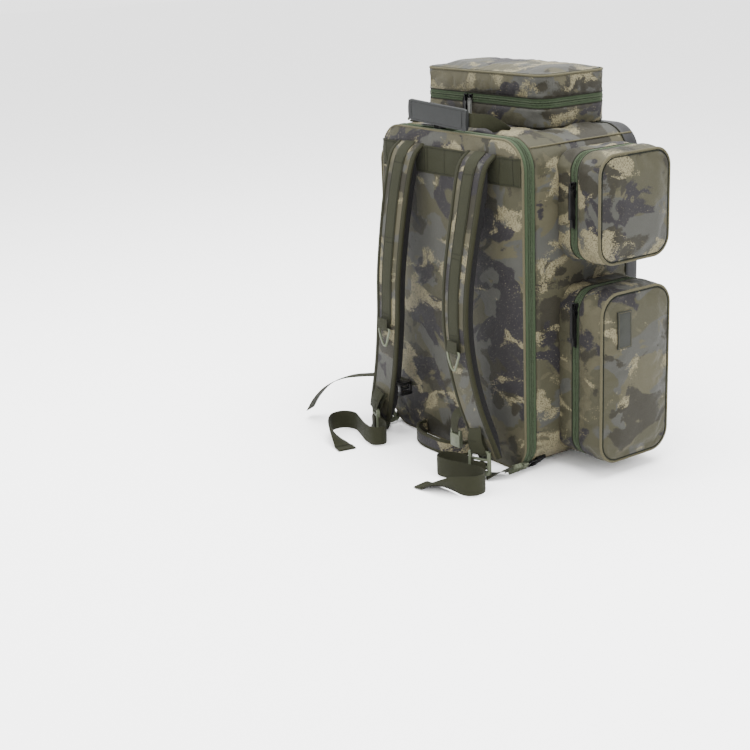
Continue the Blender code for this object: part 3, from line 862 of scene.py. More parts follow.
wrap_loop = loop_round("+Y", BAG_MIDDLE, BAG_SIZE, CORNER, WRAP_START, inset=-0.2 * MM)
for point in wrap_loop:
    point.z = max(point.z, 2 * MM)
wrap_piping = wire_piece("wrap_piping", wrap_loop, 1.7 * MM, dark_piping, closed=True)
place_on(wrap_piping, "bag", "camo_fabric")
for sx, sz, name in ((1, 1, "right"), (-1, 1, "left")):
    line = corner_line(sx, sz, ZIP_BODY_HIGH, FRONT_FACE - 10 * MM, 0.6 * MM)
    piping = wire_piece(f"top_edge_piping_{name}", line, 1.8 * MM, pale_piping)
    place_on(piping, "bag", "camo_fabric")
print("bag piping made")

# %% [markdown]
# ## The padded lid
# The lid is the back that rests against the wearer: foam under the same printed cloth, with
# a piped edge. It is crowned, and pulled in along the edge. A flat plate would look like
# board, so the face is a let-out panel over its rim, with shallow creases.

# %% Lid panel, its piping and lining
LID_MIDDLE = BAG_MIDDLE
LID_SIZE = (lid_high.x - lid_low.x, lid_high.z - lid_low.z)
LID_CORNER = CORNER - 1.5 * MM

lid_face = sewn_tray("lid_face", "-Y", LID_MIDDLE, LID_SIZE, LID_CORNER, LID_BACK + 1 * MM,
                     LID_FACE, 3 * MM, 5 * MM, 0.0, [camo_lid, lining_cloth], step=8 * MM)
settle(lid_face, 0.012, 1.0, 4 * MM)
crumple(lid_face, 1.3 * MM, 0.09, 2.0)
cloth_thickness(lid_face, 1.5 * MM)
place_on(lid_face, "lid", "camo_fabric", "lid_panel")

edge_loop = loop_round("-Y", LID_MIDDLE, LID_SIZE, LID_CORNER, LID_FACE + 2.0 * MM, inset=0.2 * MM)
lid_piping = wire_piece("lid_piping", edge_loop, 2.2 * MM, pale_piping, closed=True, sides=3)
place_on(lid_piping, "lid", "camo_fabric")

foam_low, foam_high = corners("lid_foam")
foam_size = (foam_high.x - foam_low.x, foam_high.z - foam_low.z)
foam_pad = sewn_tray("lid_lining", "+Y", LID_MIDDLE, foam_size, LID_CORNER - 4.5 * MM, foam_low.y,
                     foam_high.y - 1 * MM, 3 * MM, 0.6 * MM, 0.0, [lining_cloth], step=12 * MM)
cloth_thickness(foam_pad, 1.5 * MM)
place_on(foam_pad, "lid", "dark_foam", "lid_foam")
print("lid made")

# %% [markdown]
# ## Zips
# A coil zip is two woven tapes, each with a row of small nylon turns along its inner edge
# and a line of stitching beside them. Each half rides on what it is sewn to, so that the
# zip parts where the bag opens. Teeth are left out along the hinge, where the cloth runs on.

# %% Zip halves
TOOTH_PITCH = 2.3 * MM


def side_axis(side):
    return {"X": Vector((1, 0, 0)), "Y": Vector((0, 1, 0)), "Z": Vector((0, 0, 1))}[side[1]]


def zip_half(name, side, middle, size, radius, seam, way, width, body, hinged, nodes=()):
    """One tape with its coil and stitching. seam is the closing plane, way the tape's side."""
    axis = side_axis(side) * way
    heart = facing(side, middle)(0, 0, seam)
    bm = bmesh.new()
    rings = []
    for share, sink in ((0.02, -0.2), (0.30, -0.9), (0.38, -0.3), (0.46, -1.3), (0.85, -1.0),
                        (1.0, 0.2)):
        loop = loop_round(side, middle, size, radius, seam + way * width * share,
                          inset=sink * MM, step=8 * MM)
        rings.append([bm.verts.new(point) for point in loop])
    join_rings(bm, rings)
    tape = finish_mesh(f"{name}_tape", bm, [zip_tape])
    cloth_thickness(tape, 0.9 * MM)
    made = [tape]
    route = loop_round(side, middle, size, radius, seam, inset=0.0, step=4 * MM)
    offset = TOOTH_PITCH / 2 if way > 0 else 0.0
    coil, thread = bmesh.new(), bmesh.new()
    for pitch, target in ((TOOTH_PITCH, coil), (3.0 * MM, thread)):
        for spot, along in spaced(route, pitch, closed=True):
            if hinged(spot):
                continue
            out = along.cross(axis).normalized()
            if out.dot(spot - heart) < 0:
                out.negate()
            if target is coil:
                centre = spot + axis * 1.9 * MM + out * 0.9 * MM + along * offset
                add_bar(coil, centre, axis, out, 3.6 * MM, 1.3 * MM, 1.5 * MM)
            else:
                centre = spot + axis * width * 0.38 + out * 0.3 * MM
                add_bar(thread, centre, along, out, 2.7 * MM, 1.3 * MM, 0.5 * MM)
    made.append(finish_mesh(f"{name}_coil", coil, [zip_coil_with_highlight]))
    made.append(finish_mesh(f"{name}_stitching", thread, [stitch_and_seam_shadow]))
    for obj in made:
        place_on(obj, body, "zip_tape")
    if nodes:
        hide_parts(*nodes)
    return tape


ZIP_PLANE = (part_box("zip_body")[0][1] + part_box("zip_lid")[1][1]) / 2
MAIN_TAPE = 12 * MM


def on_lid_hinge(spot):
    return spot.x < -BAG_HALF + 12 * MM


zip_half("main_zip_lid_side", "+Y", LID_MIDDLE, LID_SIZE, LID_CORNER, ZIP_PLANE - 0.2 * MM, -1,
         MAIN_TAPE, "lid", on_lid_hinge, ["zip_lid"])
zip_half("main_zip_bag_side", "+Y", LID_MIDDLE, LID_SIZE, LID_CORNER, ZIP_PLANE + 0.2 * MM, 1,
         MAIN_TAPE, "bag", on_lid_hinge, ["zip_body"])
print("main zip made")

# %% [markdown]
# ## Pockets
# The four pockets are built alike: a tray sewn to the bag, a zip round three sides, and a
# deeper tray that swings open on the fourth. One function makes them all from the frame's
# boxes. The doors are let out and settled, so each pillows between its piping and its zip.

# %% Pocket builder
POCKETS = {
    "upper": ("+X", "upper_door", 36 * MM, camo_pockets),
    "lower": ("+X", "lower_door", 40 * MM, camo_pockets),
    "side": ("-X", "side_door", 38 * MM, camo_bag),
    "top": ("+Z", "top_door", 30 * MM, camo_top),
}
EDGE = 7 * MM


def pocket_frame(key):
    """The pocket's middle and size across its face, and its four levels away from the bag."""
    side = POCKETS[key][0]
    base_low, base_high = corners(f"{key}_pocket_base")
    zip_low, zip_high = corners(f"{key}_pocket_zip")
    door_low, door_high = corners(f"{key}_pocket_door")
    u, v, deep = (0, 1, 2) if side == "+Z" else (1, 2, 0)
    middle = ((base_low[u] + base_high[u]) / 2, (base_low[v] + base_high[v]) / 2)
    size = (base_high[u] - base_low[u], base_high[v] - base_low[v])
    if side == "-X":
        levels = (base_high[deep], zip_high[deep], zip_low[deep], door_low[deep])
    else:
        levels = (base_low[deep], zip_low[deep], zip_high[deep], door_high[deep])
    return side, middle, size, levels


def pocket_hinged(key):
    """Tells which part of a pocket's rim is its cloth hinge, on the +Y side."""
    low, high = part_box(f"{key}_pocket_base")
    return lambda spot: spot.y > high[1] - 10 * MM


def make_hinge(key, side, middle, size, radius, zip_start, zip_end):
    """The cloth hinge on a pocket's +Y edge; it ends on the axis that its door turns on."""
    place = facing(side, middle)
    way = 1 if zip_end > zip_start else -1
    reach = (size[0] if side == "+Z" else size[1]) / 2 - radius * 0.8
    far = (size[1] if side == "+Z" else size[0]) / 2 - 0.6 * MM
    depth = abs(zip_end - zip_start)
    bm = bmesh.new()
    rows = []
    for k in range(25):
        u = -reach + 2 * reach * k / 24
        row = []
        for share, out in ((-0.25, 0.3), (0.1, 1.6), (0.5, 2.2), (0.9, 1.6), (1.0, 0.4),
                           (1.0, -1.6), (0.5, -1.2), (-0.25, -1.4)):
            v = far + out * MM
            level = zip_start + way * depth * share
            row.append(bm.verts.new(place(u, v, level) if side == "+Z" else place(v, u, level)))
        rows.append(row)
    join_rings(bm, rows)
    bm.faces.new(rows[0])
    bm.faces.new(rows[-1])
    hinge = finish_mesh(f"{key}_cloth_hinge", bm, [olive_binding])
    place_on(hinge, "bag", "zip_tape")


def make_pocket(key):
    side, middle, size, levels = pocket_frame(key)
    wall, zip_start, zip_end, face = levels
    body, radius, cloth = POCKETS[key][1:]
    way = 1 if face > wall else -1
    base = sewn_tray(f"{key}_pocket_base_cloth", side, middle, size, radius, zip_start, wall,
                     4 * MM, 0.0, 1.5 * MM, [cloth, lining_cloth], hollow=True)
    settle(base, 0.015, 0.6, 3 * MM)
    crumple(base, 0.7 * MM, 0.04, 3.0)
    cloth_thickness(base)
    place_on(base, "bag", "camo_fabric", f"{key}_pocket_base")
    door = sewn_tray(f"{key}_pocket_door_cloth", side, middle, size, radius, zip_end, face, EDGE,
                     4 * MM, 1.5 * MM, [cloth, lining_cloth], step=5 * MM)
    settle(door, 0.022, 1.6, 6 * MM)
    crumple(door, 0.9 * MM, 0.045, 7.0 + len(key))
    cloth_thickness(door)
    place_on(door, body, "camo_fabric", f"{key}_pocket_door")
    lean = EDGE * (1 - math.sqrt(0.5))
    loop = loop_round(side, middle, size, radius, face - way * lean, inset=lean - 0.6 * MM,
                      step=5 * MM)
    piping = wire_piece(f"{key}_pocket_piping", loop, 2.5 * MM, pale_piping, closed=True, sides=3)
    place_on(piping, body, "camo_fabric")
    # A thin dark wire just inside the piping is painted seam shadow, where shade falls by the seam.
    loop = loop_round(side, middle, size, radius, face - way * 0.1 * MM, inset=5.2 * MM,
                      step=5 * MM)
    seam_shadow_wire = wire_piece(f"{key}_pocket_seam_shadow", loop, 0.9 * MM, stitch_and_seam_shadow, closed=True)
    place_on(seam_shadow_wire, body, "camo_fabric")
    seam = (zip_start + zip_end) / 2
    half = abs(zip_end - zip_start) / 2
    tape_size = (size[0] - 3 * MM, size[1] - 3 * MM)
    hinged = pocket_hinged(key)
    zip_half(f"{key}_zip_bag_side", side, middle, tape_size, radius - 1.5 * MM,
             seam - way * 0.15 * MM, -way, half, "bag", hinged, [f"{key}_pocket_zip"])
    zip_half(f"{key}_zip_door_side", side, middle, tape_size, radius - 1.5 * MM,
             seam + way * 0.15 * MM, way, half, body, hinged)
    for tag, level, rider in (("base", zip_start, "bag"), ("door", zip_end, body)):
        edge = loop_round(side, middle, size, radius, level, inset=0.4 * MM, step=6 * MM)
        trim = wire_piece(f"{key}_{tag}_zip_piping", edge, 1.1 * MM, dark_piping, closed=True)
        place_on(trim, rider, "camo_fabric")
    make_hinge(key, side, middle, size, radius, zip_start, zip_end)
    print(key, "pocket:", round(size[0], 3), "by", round(size[1], 3))


for pocket_key in POCKETS:
    make_pocket(pocket_key)

# %% [markdown]
# ## Zip sliders and pulls
# A slider is a small metal-and-nylon wedge with a bridge, and its pull is a moulded strap
# that hangs from it. The frame's sliders say where each one is parked and which way its
# pull hangs, so each new slider is modelled round the frame's own box.

# %% Sliders
def rounded_box(bm, centre, x_way, y_way, z_way, size, rounding=0.25):
    """A soft-edged block with its sides along three given ways."""
    matrix = Matrix((x_way, y_way, z_way)).transposed().to_4x4()
    made = bmesh.ops.create_cube(bm, size=1.0)["verts"]
    for vertex in made:
        local = Vector((vertex.co.x * size[0], vertex.co.y * size[1], vertex.co.z * size[2]))
        vertex.co = Vector(centre) + matrix.to_3x3() @ local
    edges = list({edge for vertex in made for edge in vertex.link_edges})
    bmesh.ops.bevel(bm, geom=edges, offset=min(size) * rounding, segments=2, profile=0.6,
                    affect="EDGES")


def make_slider(node, start, out, pull_way, finish):
    """start is the middle of the slider's foot on the tape; the pull hangs along pull_way."""
    low, high = corners(node)
    reach = abs((high - low).dot(pull_way))
    level = abs((high - low).dot(out)) + 0.3 * MM
    side = out.cross(pull_way)
    bm = bmesh.new()
    rounded_box(bm, start + out * 2.2 * MM, side, pull_way, out, (8.5 * MM, 12 * MM, 3.2 * MM))
    rounded_box(bm, start + out * 1.6 * MM - pull_way * 3 * MM, side, pull_way, out,
                (11 * MM, 5.5 * MM, 2.4 * MM))
    rounded_box(bm, start + out * (level - 1.6 * MM), side, pull_way, out,
                (3.0 * MM, 9 * MM, 2.6 * MM))
    rounded_box(bm, start + out * (level / 2 + 0.6 * MM) - pull_way * 3.2 * MM, side, pull_way,
                out, (3.0 * MM, 2.2 * MM, level - 2 * MM))
    body = finish_mesh(f"{node}_wedge", bm, [black_nylon])
    pull = bmesh.new()
    length = reach - 8 * MM
    middle = start + out * (level - 1.4 * MM) + pull_way * (reach / 2 + 0.5 * MM)
    rounded_box(pull, middle, side, pull_way, out, (9.6 * MM, length, 2.2 * MM), 0.3)
    rounded_box(pull, middle + out * 0.6 * MM + pull_way * 2 * MM, side, pull_way, out,
                (7.2 * MM, length - 12 * MM, 1.8 * MM), 0.3)
    rounded_box(pull, middle - pull_way * (length / 2 + 1 * MM), side, pull_way, out,
                (5.5 * MM, 5 * MM, 2.6 * MM), 0.3)
    tab = finish_mesh(f"{node}_pull", pull, [finish])
    for obj in (body, tab):
        obj.data.set_sharp_from_angle(angle=math.radians(40))
        place_on(obj, f"{node}_body", "black_plastic")
    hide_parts(node)


def slider_start(node, out, pull_way):
    """The foot of the slider: the end of the frame's piece that the pull hangs away from."""
    low, high = corners(node)
    middle = (low + high) / 2
    reach = abs((high - low).dot(pull_way))
    height = abs((high - low).dot(out))
    return middle - pull_way * (reach / 2 - 6.5 * MM) - out * (height / 2 + 0.3 * MM)


FORWARD = Vector((0, -1, 0))
for key in ("upper", "lower", "side"):
    for letter in "ab":
        name = f"{key}_slider_{letter}"
        make_slider(name, slider_start(name, FORWARD, -UP), FORWARD, -UP, black_nylon)
for letter, finish in (("a", black_nylon), ("b", grey_pull)):
    name = f"top_slider_{letter}"
    make_slider(name, slider_start(name, FORWARD, -UP), FORWARD, -UP, finish)
for letter, pull_way in (("a", -ACROSS), ("b", ACROSS)):
    name = f"main_slider_{letter}"
    make_slider(name, slider_start(name, UP, pull_way), UP, pull_way, black_nylon)
print("ten sliders made")

# %% [markdown]
# ## Bands sewn on to cloth
# The wide band under the lid's top edge, the two ladder bands on the long pocket and the
# blank label are all sewn flat. Each one is a grid of points dropped on to the settled
# cloth with rays, then lifted by its own thickness, so it follows every swell and crease.

# %% Band laying helper
def drop(tree, spot, toward, reach=0.06):
    """Where a ray from just outside the bag lands on the cloth, as a distance along toward."""
    hit = tree.ray_cast(spot - toward * reach, toward, 2 * reach)[0]
    return None if hit is None else (hit - spot).dot(toward)


def lay_band(name, cloth, start, end, width, toward, thick, material, bulge=None, steps=6):
    """A woven band from start to end, dropped along toward on to a piece of cloth."""
    tree = BVHTree.FromObject(cloth, bpy.context.evaluated_depsgraph_get())
    start, end = Vector(start), Vector(end)
    way = (end - start).normalized()
    side = toward.cross(way)
    count = max(4, round((end - start).length / (4 * MM)))
    bm = bmesh.new()
    rows = []
    for k in range(count + 1):
        share = k / count
        middle = start.lerp(end, share)
        depths = []
        for j in range(steps + 1):
            spot = middle + side * width * (j / steps - 0.5)
            depths.append(drop(tree, spot, toward))
        known = [depth for depth in depths if depth is not None]
        usual = min(known) if known else 0.0
        raised = thick + (bulge(share) if bulge else 0.0)
        row = []
        for j, depth in enumerate(depths):
            depth = usual if depth is None else (depth + usual) / 2
            spot = middle + side * width * (j / steps - 0.5) + toward * (depth - raised)
            row.append(bm.verts.new(spot))
        first = bm.verts.new(row[0].co + toward * (raised + 0.4 * MM) * 0.9)
        last = bm.verts.new(row[-1].co + toward * (raised + 0.4 * MM) * 0.9)
        rows.append([first] + row + [last])
    for low, high in zip(rows, rows[1:]):
        for j in range(len(low) - 1):
            bm.faces.new((low[j], low[j + 1], high[j + 1], high[j]))
    bm.faces.new(rows[0])
    bm.faces.new(rows[-1][::-1])
    obj = finish_mesh(name, bm, [material])
    obj.data.set_sharp_from_angle(angle=math.radians(50))
    return obj


def lay_line(cloth, start, end, toward, lift, pitch=4 * MM):
    """Points from start to end dropped on to a band or a piece of cloth."""
    tree = BVHTree.FromObject(cloth, bpy.context.evaluated_depsgraph_get())
    start, end = Vector(start), Vector(end)
    count = max(2, round((end - start).length / pitch))
    points = []
    for k in range(count + 1):
        spot = start.lerp(end, k / count)
        depth = drop(tree, spot, toward)
        if depth is not None:
            points.append(spot + toward * (depth - lift))
    return points


def sew(name, lines, out, material, rider, slot_name, pitch=3.2 * MM):
    """Several rows of stitches joined in one piece that rides on a body."""
    bm = bmesh.new()
    for line in lines:
        for spot, way in spaced(line, pitch):
            add_bar(bm, spot, way, out, 2.3 * MM, 0.9 * MM, 0.5 * MM)
    obj = finish_mesh(name, bm, [material])
    place_on(obj, rider, slot_name)
    return obj


print("band laying tools ready")

# %% [markdown]
# The lid's band is 50 mm of olive webbing. Upright tacks hold it where the straps leave it.

# %% Lid band, label and ladder bands
BACKWARD = Vector((0, 1, 0))
band_low, band_high = corners("webbing_band")
band_level = (band_low.z + band_high.z) / 2
band_width = band_high.z - band_low.z
lid_band = lay_band("lid_band", lid_face, (band_low.x, LID_FACE, band_level),
                    (band_high.x, LID_FACE, band_level), band_width, BACKWARD, 1.6 * MM,
                    olive_webbing)
place_on(lid_band, "lid", "olive_webbing", "webbing_band")
tack_lines = []
for x in (-0.186, -0.058, -0.050, 0.000, 0.050, 0.058, 0.152, 0.186):
    tack_lines.append(lay_line(lid_band, (x, LID_FACE, band_low.z + 3 * MM),
                               (x, LID_FACE, band_high.z - 3 * MM), BACKWARD, 0.1 * MM))
for z in (band_low.z + 3 * MM, band_high.z - 3 * MM):
    tack_lines.append(lay_line(lid_band, (band_low.x + 4 * MM, LID_FACE, z),
                               (band_high.x - 4 * MM, LID_FACE, z), BACKWARD, 0.1 * MM))
sew("lid_band_stitches", tack_lines, FORWARD, stitch_thread, "lid", "olive_webbing")

INWARD = Vector((-1, 0, 0))
lower_cloth = bpy.data.objects["lower_pocket_door_cloth"]
label_low, label_high = corners("label_patch")
label_low.y -= 8 * MM
label_y = (label_low.y + label_high.y) / 2
label_width = label_high.y - label_low.y
label = lay_band("blank_label", lower_cloth, (label_low.x, label_y, label_low.z),
                 (label_low.x, label_y, label_high.z), label_width, INWARD, 1.6 * MM, label_rubber)
place_on(label, "lower_door", "black_plastic", "label_patch")
rim_lines = []
for y in (label_low.y + 2 * MM, label_high.y - 2 * MM):
    rim_lines.append(lay_line(label, (label_low.x, y, label_low.z + 2 * MM),
                              (label_low.x, y, label_high.z - 2 * MM), INWARD, 0.1 * MM, 2 * MM))
for z in (label_low.z + 2 * MM, label_high.z - 2 * MM):
    rim_lines.append(lay_line(label, (label_low.x, label_low.y + 2 * MM, z),
                              (label_low.x, label_high.y - 2 * MM, z), INWARD, 0.1 * MM, 2 * MM))
sew("label_stitches", rim_lines, ACROSS, pale_piping, "lower_door", "black_plastic", 2.6 * MM)

side_cloth = bpy.data.objects["side_pocket_door_cloth"]
for name in ("molle_strip_low", "molle_strip_high"):
    low, high = corners(name)
    level = (low.z + high.z) / 2
    loops = 3
    ladder = lay_band(f"{name}_band", side_cloth, (high.x, low.y, level), (high.x, high.y, level),
                      high.z - low.z, ACROSS, 1.4 * MM, olive_webbing,
                      lambda share: 2.2 * MM * abs(math.sin(math.pi * loops * share)) ** 0.6)
    place_on(ladder, "side_door", "olive_webbing", name)
    tacks = []
    for k in range(loops + 1):
        y = low.y + 2 * MM + (high.y - low.y - 4 * MM) * k / loops
        for shift in (-1 * MM, 1 * MM):
            tacks.append(lay_line(ladder, (high.x, y + shift, low.z + 2 * MM),
                                  (high.x, y + shift, high.z - 2 * MM), ACROSS, 0.1 * MM, 2 * MM))
    sew(f"{name}_tacks", tacks, INWARD, stitch_thread, "side_door", "olive_webbing")
print("lid band, label and ladder bands laid")

# %% [markdown]
# ## Shoulder straps
# Each strap is a camouflage cover over a pad of dark spacer mesh, bound with olive tape on
# both edges. Down its middle runs a 30 mm webbing, stitched along its edges, which ends in
# a loop round the pale ring. The route is the frame's own, so the pads stay where the
# frame's solids are.

# %% Strap helpers
STRAP_ROUTE = (
    (0.103, 0.006, 0.582),
    (0.103, 0.030, 0.558),
    (0.104, 0.050, 0.480),
    (0.102, 0.072, 0.350),
    (0.106, 0.076, 0.245),
    (0.130, 0.070, 0.138),
    (0.174, 0.057, 0.034),
)
STRAP_WIDE, STRAP_NARROW = 78 * MM, 62 * MM
FOAM_DEEP = 15 * MM
SIDES = (("right", 1), ("left", -1))


def along_x(share):
    return ACROSS


def tapered(name, frames, section_at, materials, sharp=50):
    """A strip whose section changes along its length: section_at(share) gives its points."""
    last = len(frames) - 1
    bm = bmesh.new()
    rings = []
    for i, (point, way, wide, face) in enumerate(frames):
        rings.append([bm.verts.new(point + wide * u + face * w) for u, w in section_at(i / last)])
    join_rings(bm, rings)
    bm.faces.new(rings[0])
    bm.faces.new(rings[-1])
    obj = finish_mesh(name, bm, materials)
    obj.data.set_sharp_from_angle(angle=math.radians(sharp))
    return obj


def strap_half(share):
    return (STRAP_WIDE + (STRAP_NARROW - STRAP_WIDE) * share) / 2


def domed(half, top, bottom, dome, steps=8):
    """A pad's section: a domed top face and a flat underside with rounded edges."""
    points = []
    for k in range(steps + 1):
        s = -1 + 2 * k / steps
        points.append((s * half, top - dome * (1 - s * s)))
    middle = (top + bottom) / 2
    points.append((half + 1.2 * MM, middle))
    points.append((half - 1 * MM, bottom - 1 * MM))
    points.append((half - 6 * MM, bottom))
    points.append((-half + 6 * MM, bottom))
    points.append((-half + 1 * MM, bottom - 1 * MM))
    points.append((-half - 1.2 * MM, middle))
    return points


def binding_section(edge, side):
    """Tape folded over a strap's edge."""
    shape = ((-9.0, -0.5), (-7.0, -1.5), (-1.0, -1.2), (1.2, 0.2), (1.4, 2.2), (0.4, 4.2),
             (-5.0, 4.6), (-8.0, 3.4))
    return [(side * (edge + u * MM), w * MM) for u, w in shape]


def offset_line(frames, across, out):
    return [point + wide * across(i / (len(frames) - 1)) + face * out
            for i, (point, way, wide, face) in enumerate(frames)]


def on_strap(obj, slot_name):
    place_on(obj, "lid", slot_name)
    return obj


# %% [markdown]
# The pad is made first, then its cover, the two bindings, and the webbing with its seams.
# A dense strip is cheap, and lets the strap bend without corners.

# %% Shoulder straps
def make_strap(word, mirror):
    points = [(mirror * x, LID_FACE - off, z) for x, off, z in STRAP_ROUTE]
    samples = smooth_route(points, 8 * MM)
    frames = frames_along(samples, along_x)
    cover = tapered(f"strap_cover_cloth_{word}", frames,
                    lambda t: domed(strap_half(t) - 1 * MM, 0.4 * MM, 3 * MM, 2.2 * MM),
                    [camo_straps])
    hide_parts(f"strap_cover_{word}")
    on_strap(cover, "camo_fabric")
    low = [frame for frame in frames if frame[0].z < 0.566]
    pad = tapered(f"strap_pad_{word}", low,
                  lambda t: domed(strap_half(0.05 + 0.95 * t) - 1.2 * MM, 3.2 * MM,
                                  3.2 * MM + FOAM_DEEP * min(1.0, 0.35 + 9 * t, 0.35 + 9 * (1 - t)),
                                  0.0), [strap_mesh])
    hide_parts(f"strap_foam_{word}")
    on_strap(pad, "dark_foam")
    seams = []
    for side in (-1, 1):
        edge = tapered(f"strap_binding_{word}_{'in' if side * mirror < 0 else 'out'}", frames,
                       lambda t, side=side: binding_section(strap_half(t), side), [olive_binding])
        on_strap(edge, "olive_webbing")
        seams.append(offset_line(frames, lambda t, side=side: side * (strap_half(t) - 7.4 * MM),
                                 -1.4 * MM))
        seams.append(offset_line(low, lambda t, side=side: side * 13 * MM, -3.7 * MM))
    upper = [frame for frame in frames if frame[0].z > 0.2400]
    section = band_section(30 * MM, 1.6 * MM, -2.7 * MM, 6, -0.3 * MM)
    webbing = tapered(f"strap_webbing_band_{word}", upper, lambda t: section, [olive_webbing])
    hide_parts(f"strap_webbing_{word}")
    on_strap(webbing, "olive_webbing")
    seams[1] = [p for p in seams[1] if p.z > 0.243]
    seams[3] = [p for p in seams[3] if p.z > 0.243]
    for level in (0.545, 0.404, 0.396, 0.262):
        nearest = min(frames, key=lambda frame: abs(frame[0].z - level))
        spot, way, wide, face = nearest
        seams.append([spot + wide * u * MM - face * 3.7 * MM for u in (-12, 0, 12)])
    sew(f"strap_stitches_{word}", seams, FORWARD, stitch_thread, "lid", "olive_webbing")


for word, mirror in SIDES:
    make_strap(word, mirror)
print("shoulder straps made")

# %% [markdown]
# ## Strap fittings
# A pale ring hangs in the webbing's folded end on each strap. At the strap's low end a
# stitched tab holds a ladder lock: a frame with four bars that grips the adjuster webbing.

# %% Rings, tabs and ladder locks
def bar_loop(name, centre, radius, width, reach, rise, material, side_way, up_way, out_way):
    """Webbing folded round a bar: up the front, round, and up the back."""
    samples = []
    for k in range(4):
        samples.append(centre + out_way * radius + up_way * reach * (1 - k / 3)
                       + out_way * rise * (1 - k / 3))
    for k in range(1, 8):
        turn = math.pi * k / 8
        samples.append(centre + out_way * radius * math.cos(turn)
                       - up_way * radius * math.sin(turn))
    for k in range(4):
        samples.append(centre - out_way * radius + up_way * reach * k / 3)
    return strip(name, samples, lambda share: side_way, band_section(width, 1.5 * MM),
                 material)


def fitting(name, bm, material, rider, slot_name, node=None):
    obj = finish_mesh(name, bm, [material])
    obj.data.set_sharp_from_angle(angle=math.radians(35))
    place_on(obj, rider, slot_name)
    if node:
        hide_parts(node)
    return obj


for word, mirror in SIDES:
    ring_low, ring_high = corners(f"v_ring_{word}")
    x, y, z = (ring_low.x + ring_high.x) / 2, (ring_low.y + ring_high.y) / 2, ring_high.z - 1.6 * MM
    shape = ((-15, 0), (0, 0.3), (15, 0), (16.5, -5), (12, -17), (7, -29), (3.4, -34.5),
             (-3.4, -34.5), (-7, -29), (-12, -17), (-16.5, -5))
    points = [Vector((x + u * MM, y - 1.2 * MM * math.sin(-v * 0.09), z + v * MM)) for u, v in shape]
    ring = wire_piece(f"v_ring_wire_{word}", points, 2.3 * MM, sage_nylon, closed=True, sides=3)
    place_on(ring, f"v_ring_{word}_body", "sage_plastic", f"v_ring_{word}")
    loop = bar_loop(f"v_ring_fold_{word}", Vector((x, y, z)), 3.8 * MM, 28 * MM, 20 * MM, -0.6 * MM,
                    olive_webbing, ACROSS, UP, FORWARD)
    on_strap(loop, "olive_webbing")

    lock_low, lock_high = corners(f"ladder_lock_{word}")
    middle = (lock_low + lock_high) / 2
    wide, tall = (lock_high.x - lock_low.x) / 2, (lock_high.z - lock_low.z) / 2
    lean = math.radians(24) * mirror
    flat = Vector((math.cos(lean), math.sin(lean), 0))
    depth_way = Vector((-math.sin(lean), math.cos(lean), 0))
    bm = bmesh.new()
    for side in (-1, 1):
        rounded_box(bm, middle + flat * side * (wide - 3 * MM), flat, depth_way, UP,
                    (6.5 * MM, 8 * MM, 2 * tall - 4 * MM), 0.35)
    for level, depth, height in ((tall - 2.8 * MM, 7 * MM, 5.6 * MM), (7 * MM, 6 * MM, 4.6 * MM),
                                 (-6 * MM, 6 * MM, 4.6 * MM), (-tall + 4.5 * MM, 8 * MM, 9 * MM)):
        rounded_box(bm, middle + UP * level, flat, depth_way, UP,
                    (2 * wide - 6 * MM, depth, height), 0.35)
    fitting(f"ladder_lock_frame_{word}", bm, sage_nylon, "lid", "sage_plastic",
            f"ladder_lock_{word}")

    def turning(share, flat=flat):
        return ACROSS.lerp(flat, share)

    top_bar = middle + UP * (tall - 3 * MM)
    route = [Vector((middle.x - mirror * 14 * MM, LID_FACE - 71 * MM, 0.094)),
             Vector((middle.x - mirror * 7 * MM, middle.y - 5 * MM, 0.072)),
             top_bar - depth_way * 5 * MM]
    seams = []
    for tag, shift in (("front", 0.0), ("back", 9.0)):
        path = [point + depth_way * shift * MM for point in route]
        path.append(top_bar + depth_way * (shift / 9 * 7 - 3.5) * MM - UP * 4.4 * MM)
        tab = strip(f"strap_tab_{tag}_{word}", smooth_route(path, 4 * MM), turning,
                    band_section(32 * MM, 1.8 * MM), olive_webbing)
        on_strap(tab, "olive_webbing")
        if shift == 0.0:
            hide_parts(f"strap_tab_{word}")
    for across in (-14 * MM, 14 * MM):
        seams.append([point + flat * across - depth_way * 1.3 * MM for point in route])
    seams.append([route[1] + flat * u * MM - depth_way * 1.3 * MM for u in (-13, 0, 13)])
    sew(f"strap_tab_stitches_{word}", seams, FORWARD, stitch_thread, "lid", "olive_webbing")
    threaded = [middle + depth_way * u * MM + UP * v * MM for u, v in
                ((6.5, -15), (4.8, -2), (0.5, 1), (-5.2, 4), (-6.4, -4), (-6.0, -12), (-7.0, -24))]
    web = strip(f"ladder_webbing_{word}", smooth_route(threaded, 3 * MM),
                lambda share, flat=flat: flat, band_section(29 * MM, 1.3 * MM), olive_webbing)
    on_strap(web, "olive_webbing")
print("rings, tabs and ladder locks made")

# %% [markdown]
# ## Corner rings and snap hooks
# A black steel ring hangs from a webbing tab on each bottom corner of the bag. A pale snap
# hook is clipped in it, with an eye for the adjuster webbing. The hook is a bent bar, thick
# at the eye and thin at the gate.

# %% Corner rings and hooks
def corner_axes(mirror):
    return (Vector((mirror, 0, 1)).normalized(), Vector((mirror, 0, -1)).normalized())


def around(middle, side_way, long_way, shape):
    """Points of a flat outline in millimetres laid on two ways round a middle."""
    return [middle + side_way * (u * MM) + long_way * (v * MM) for u, v in shape]


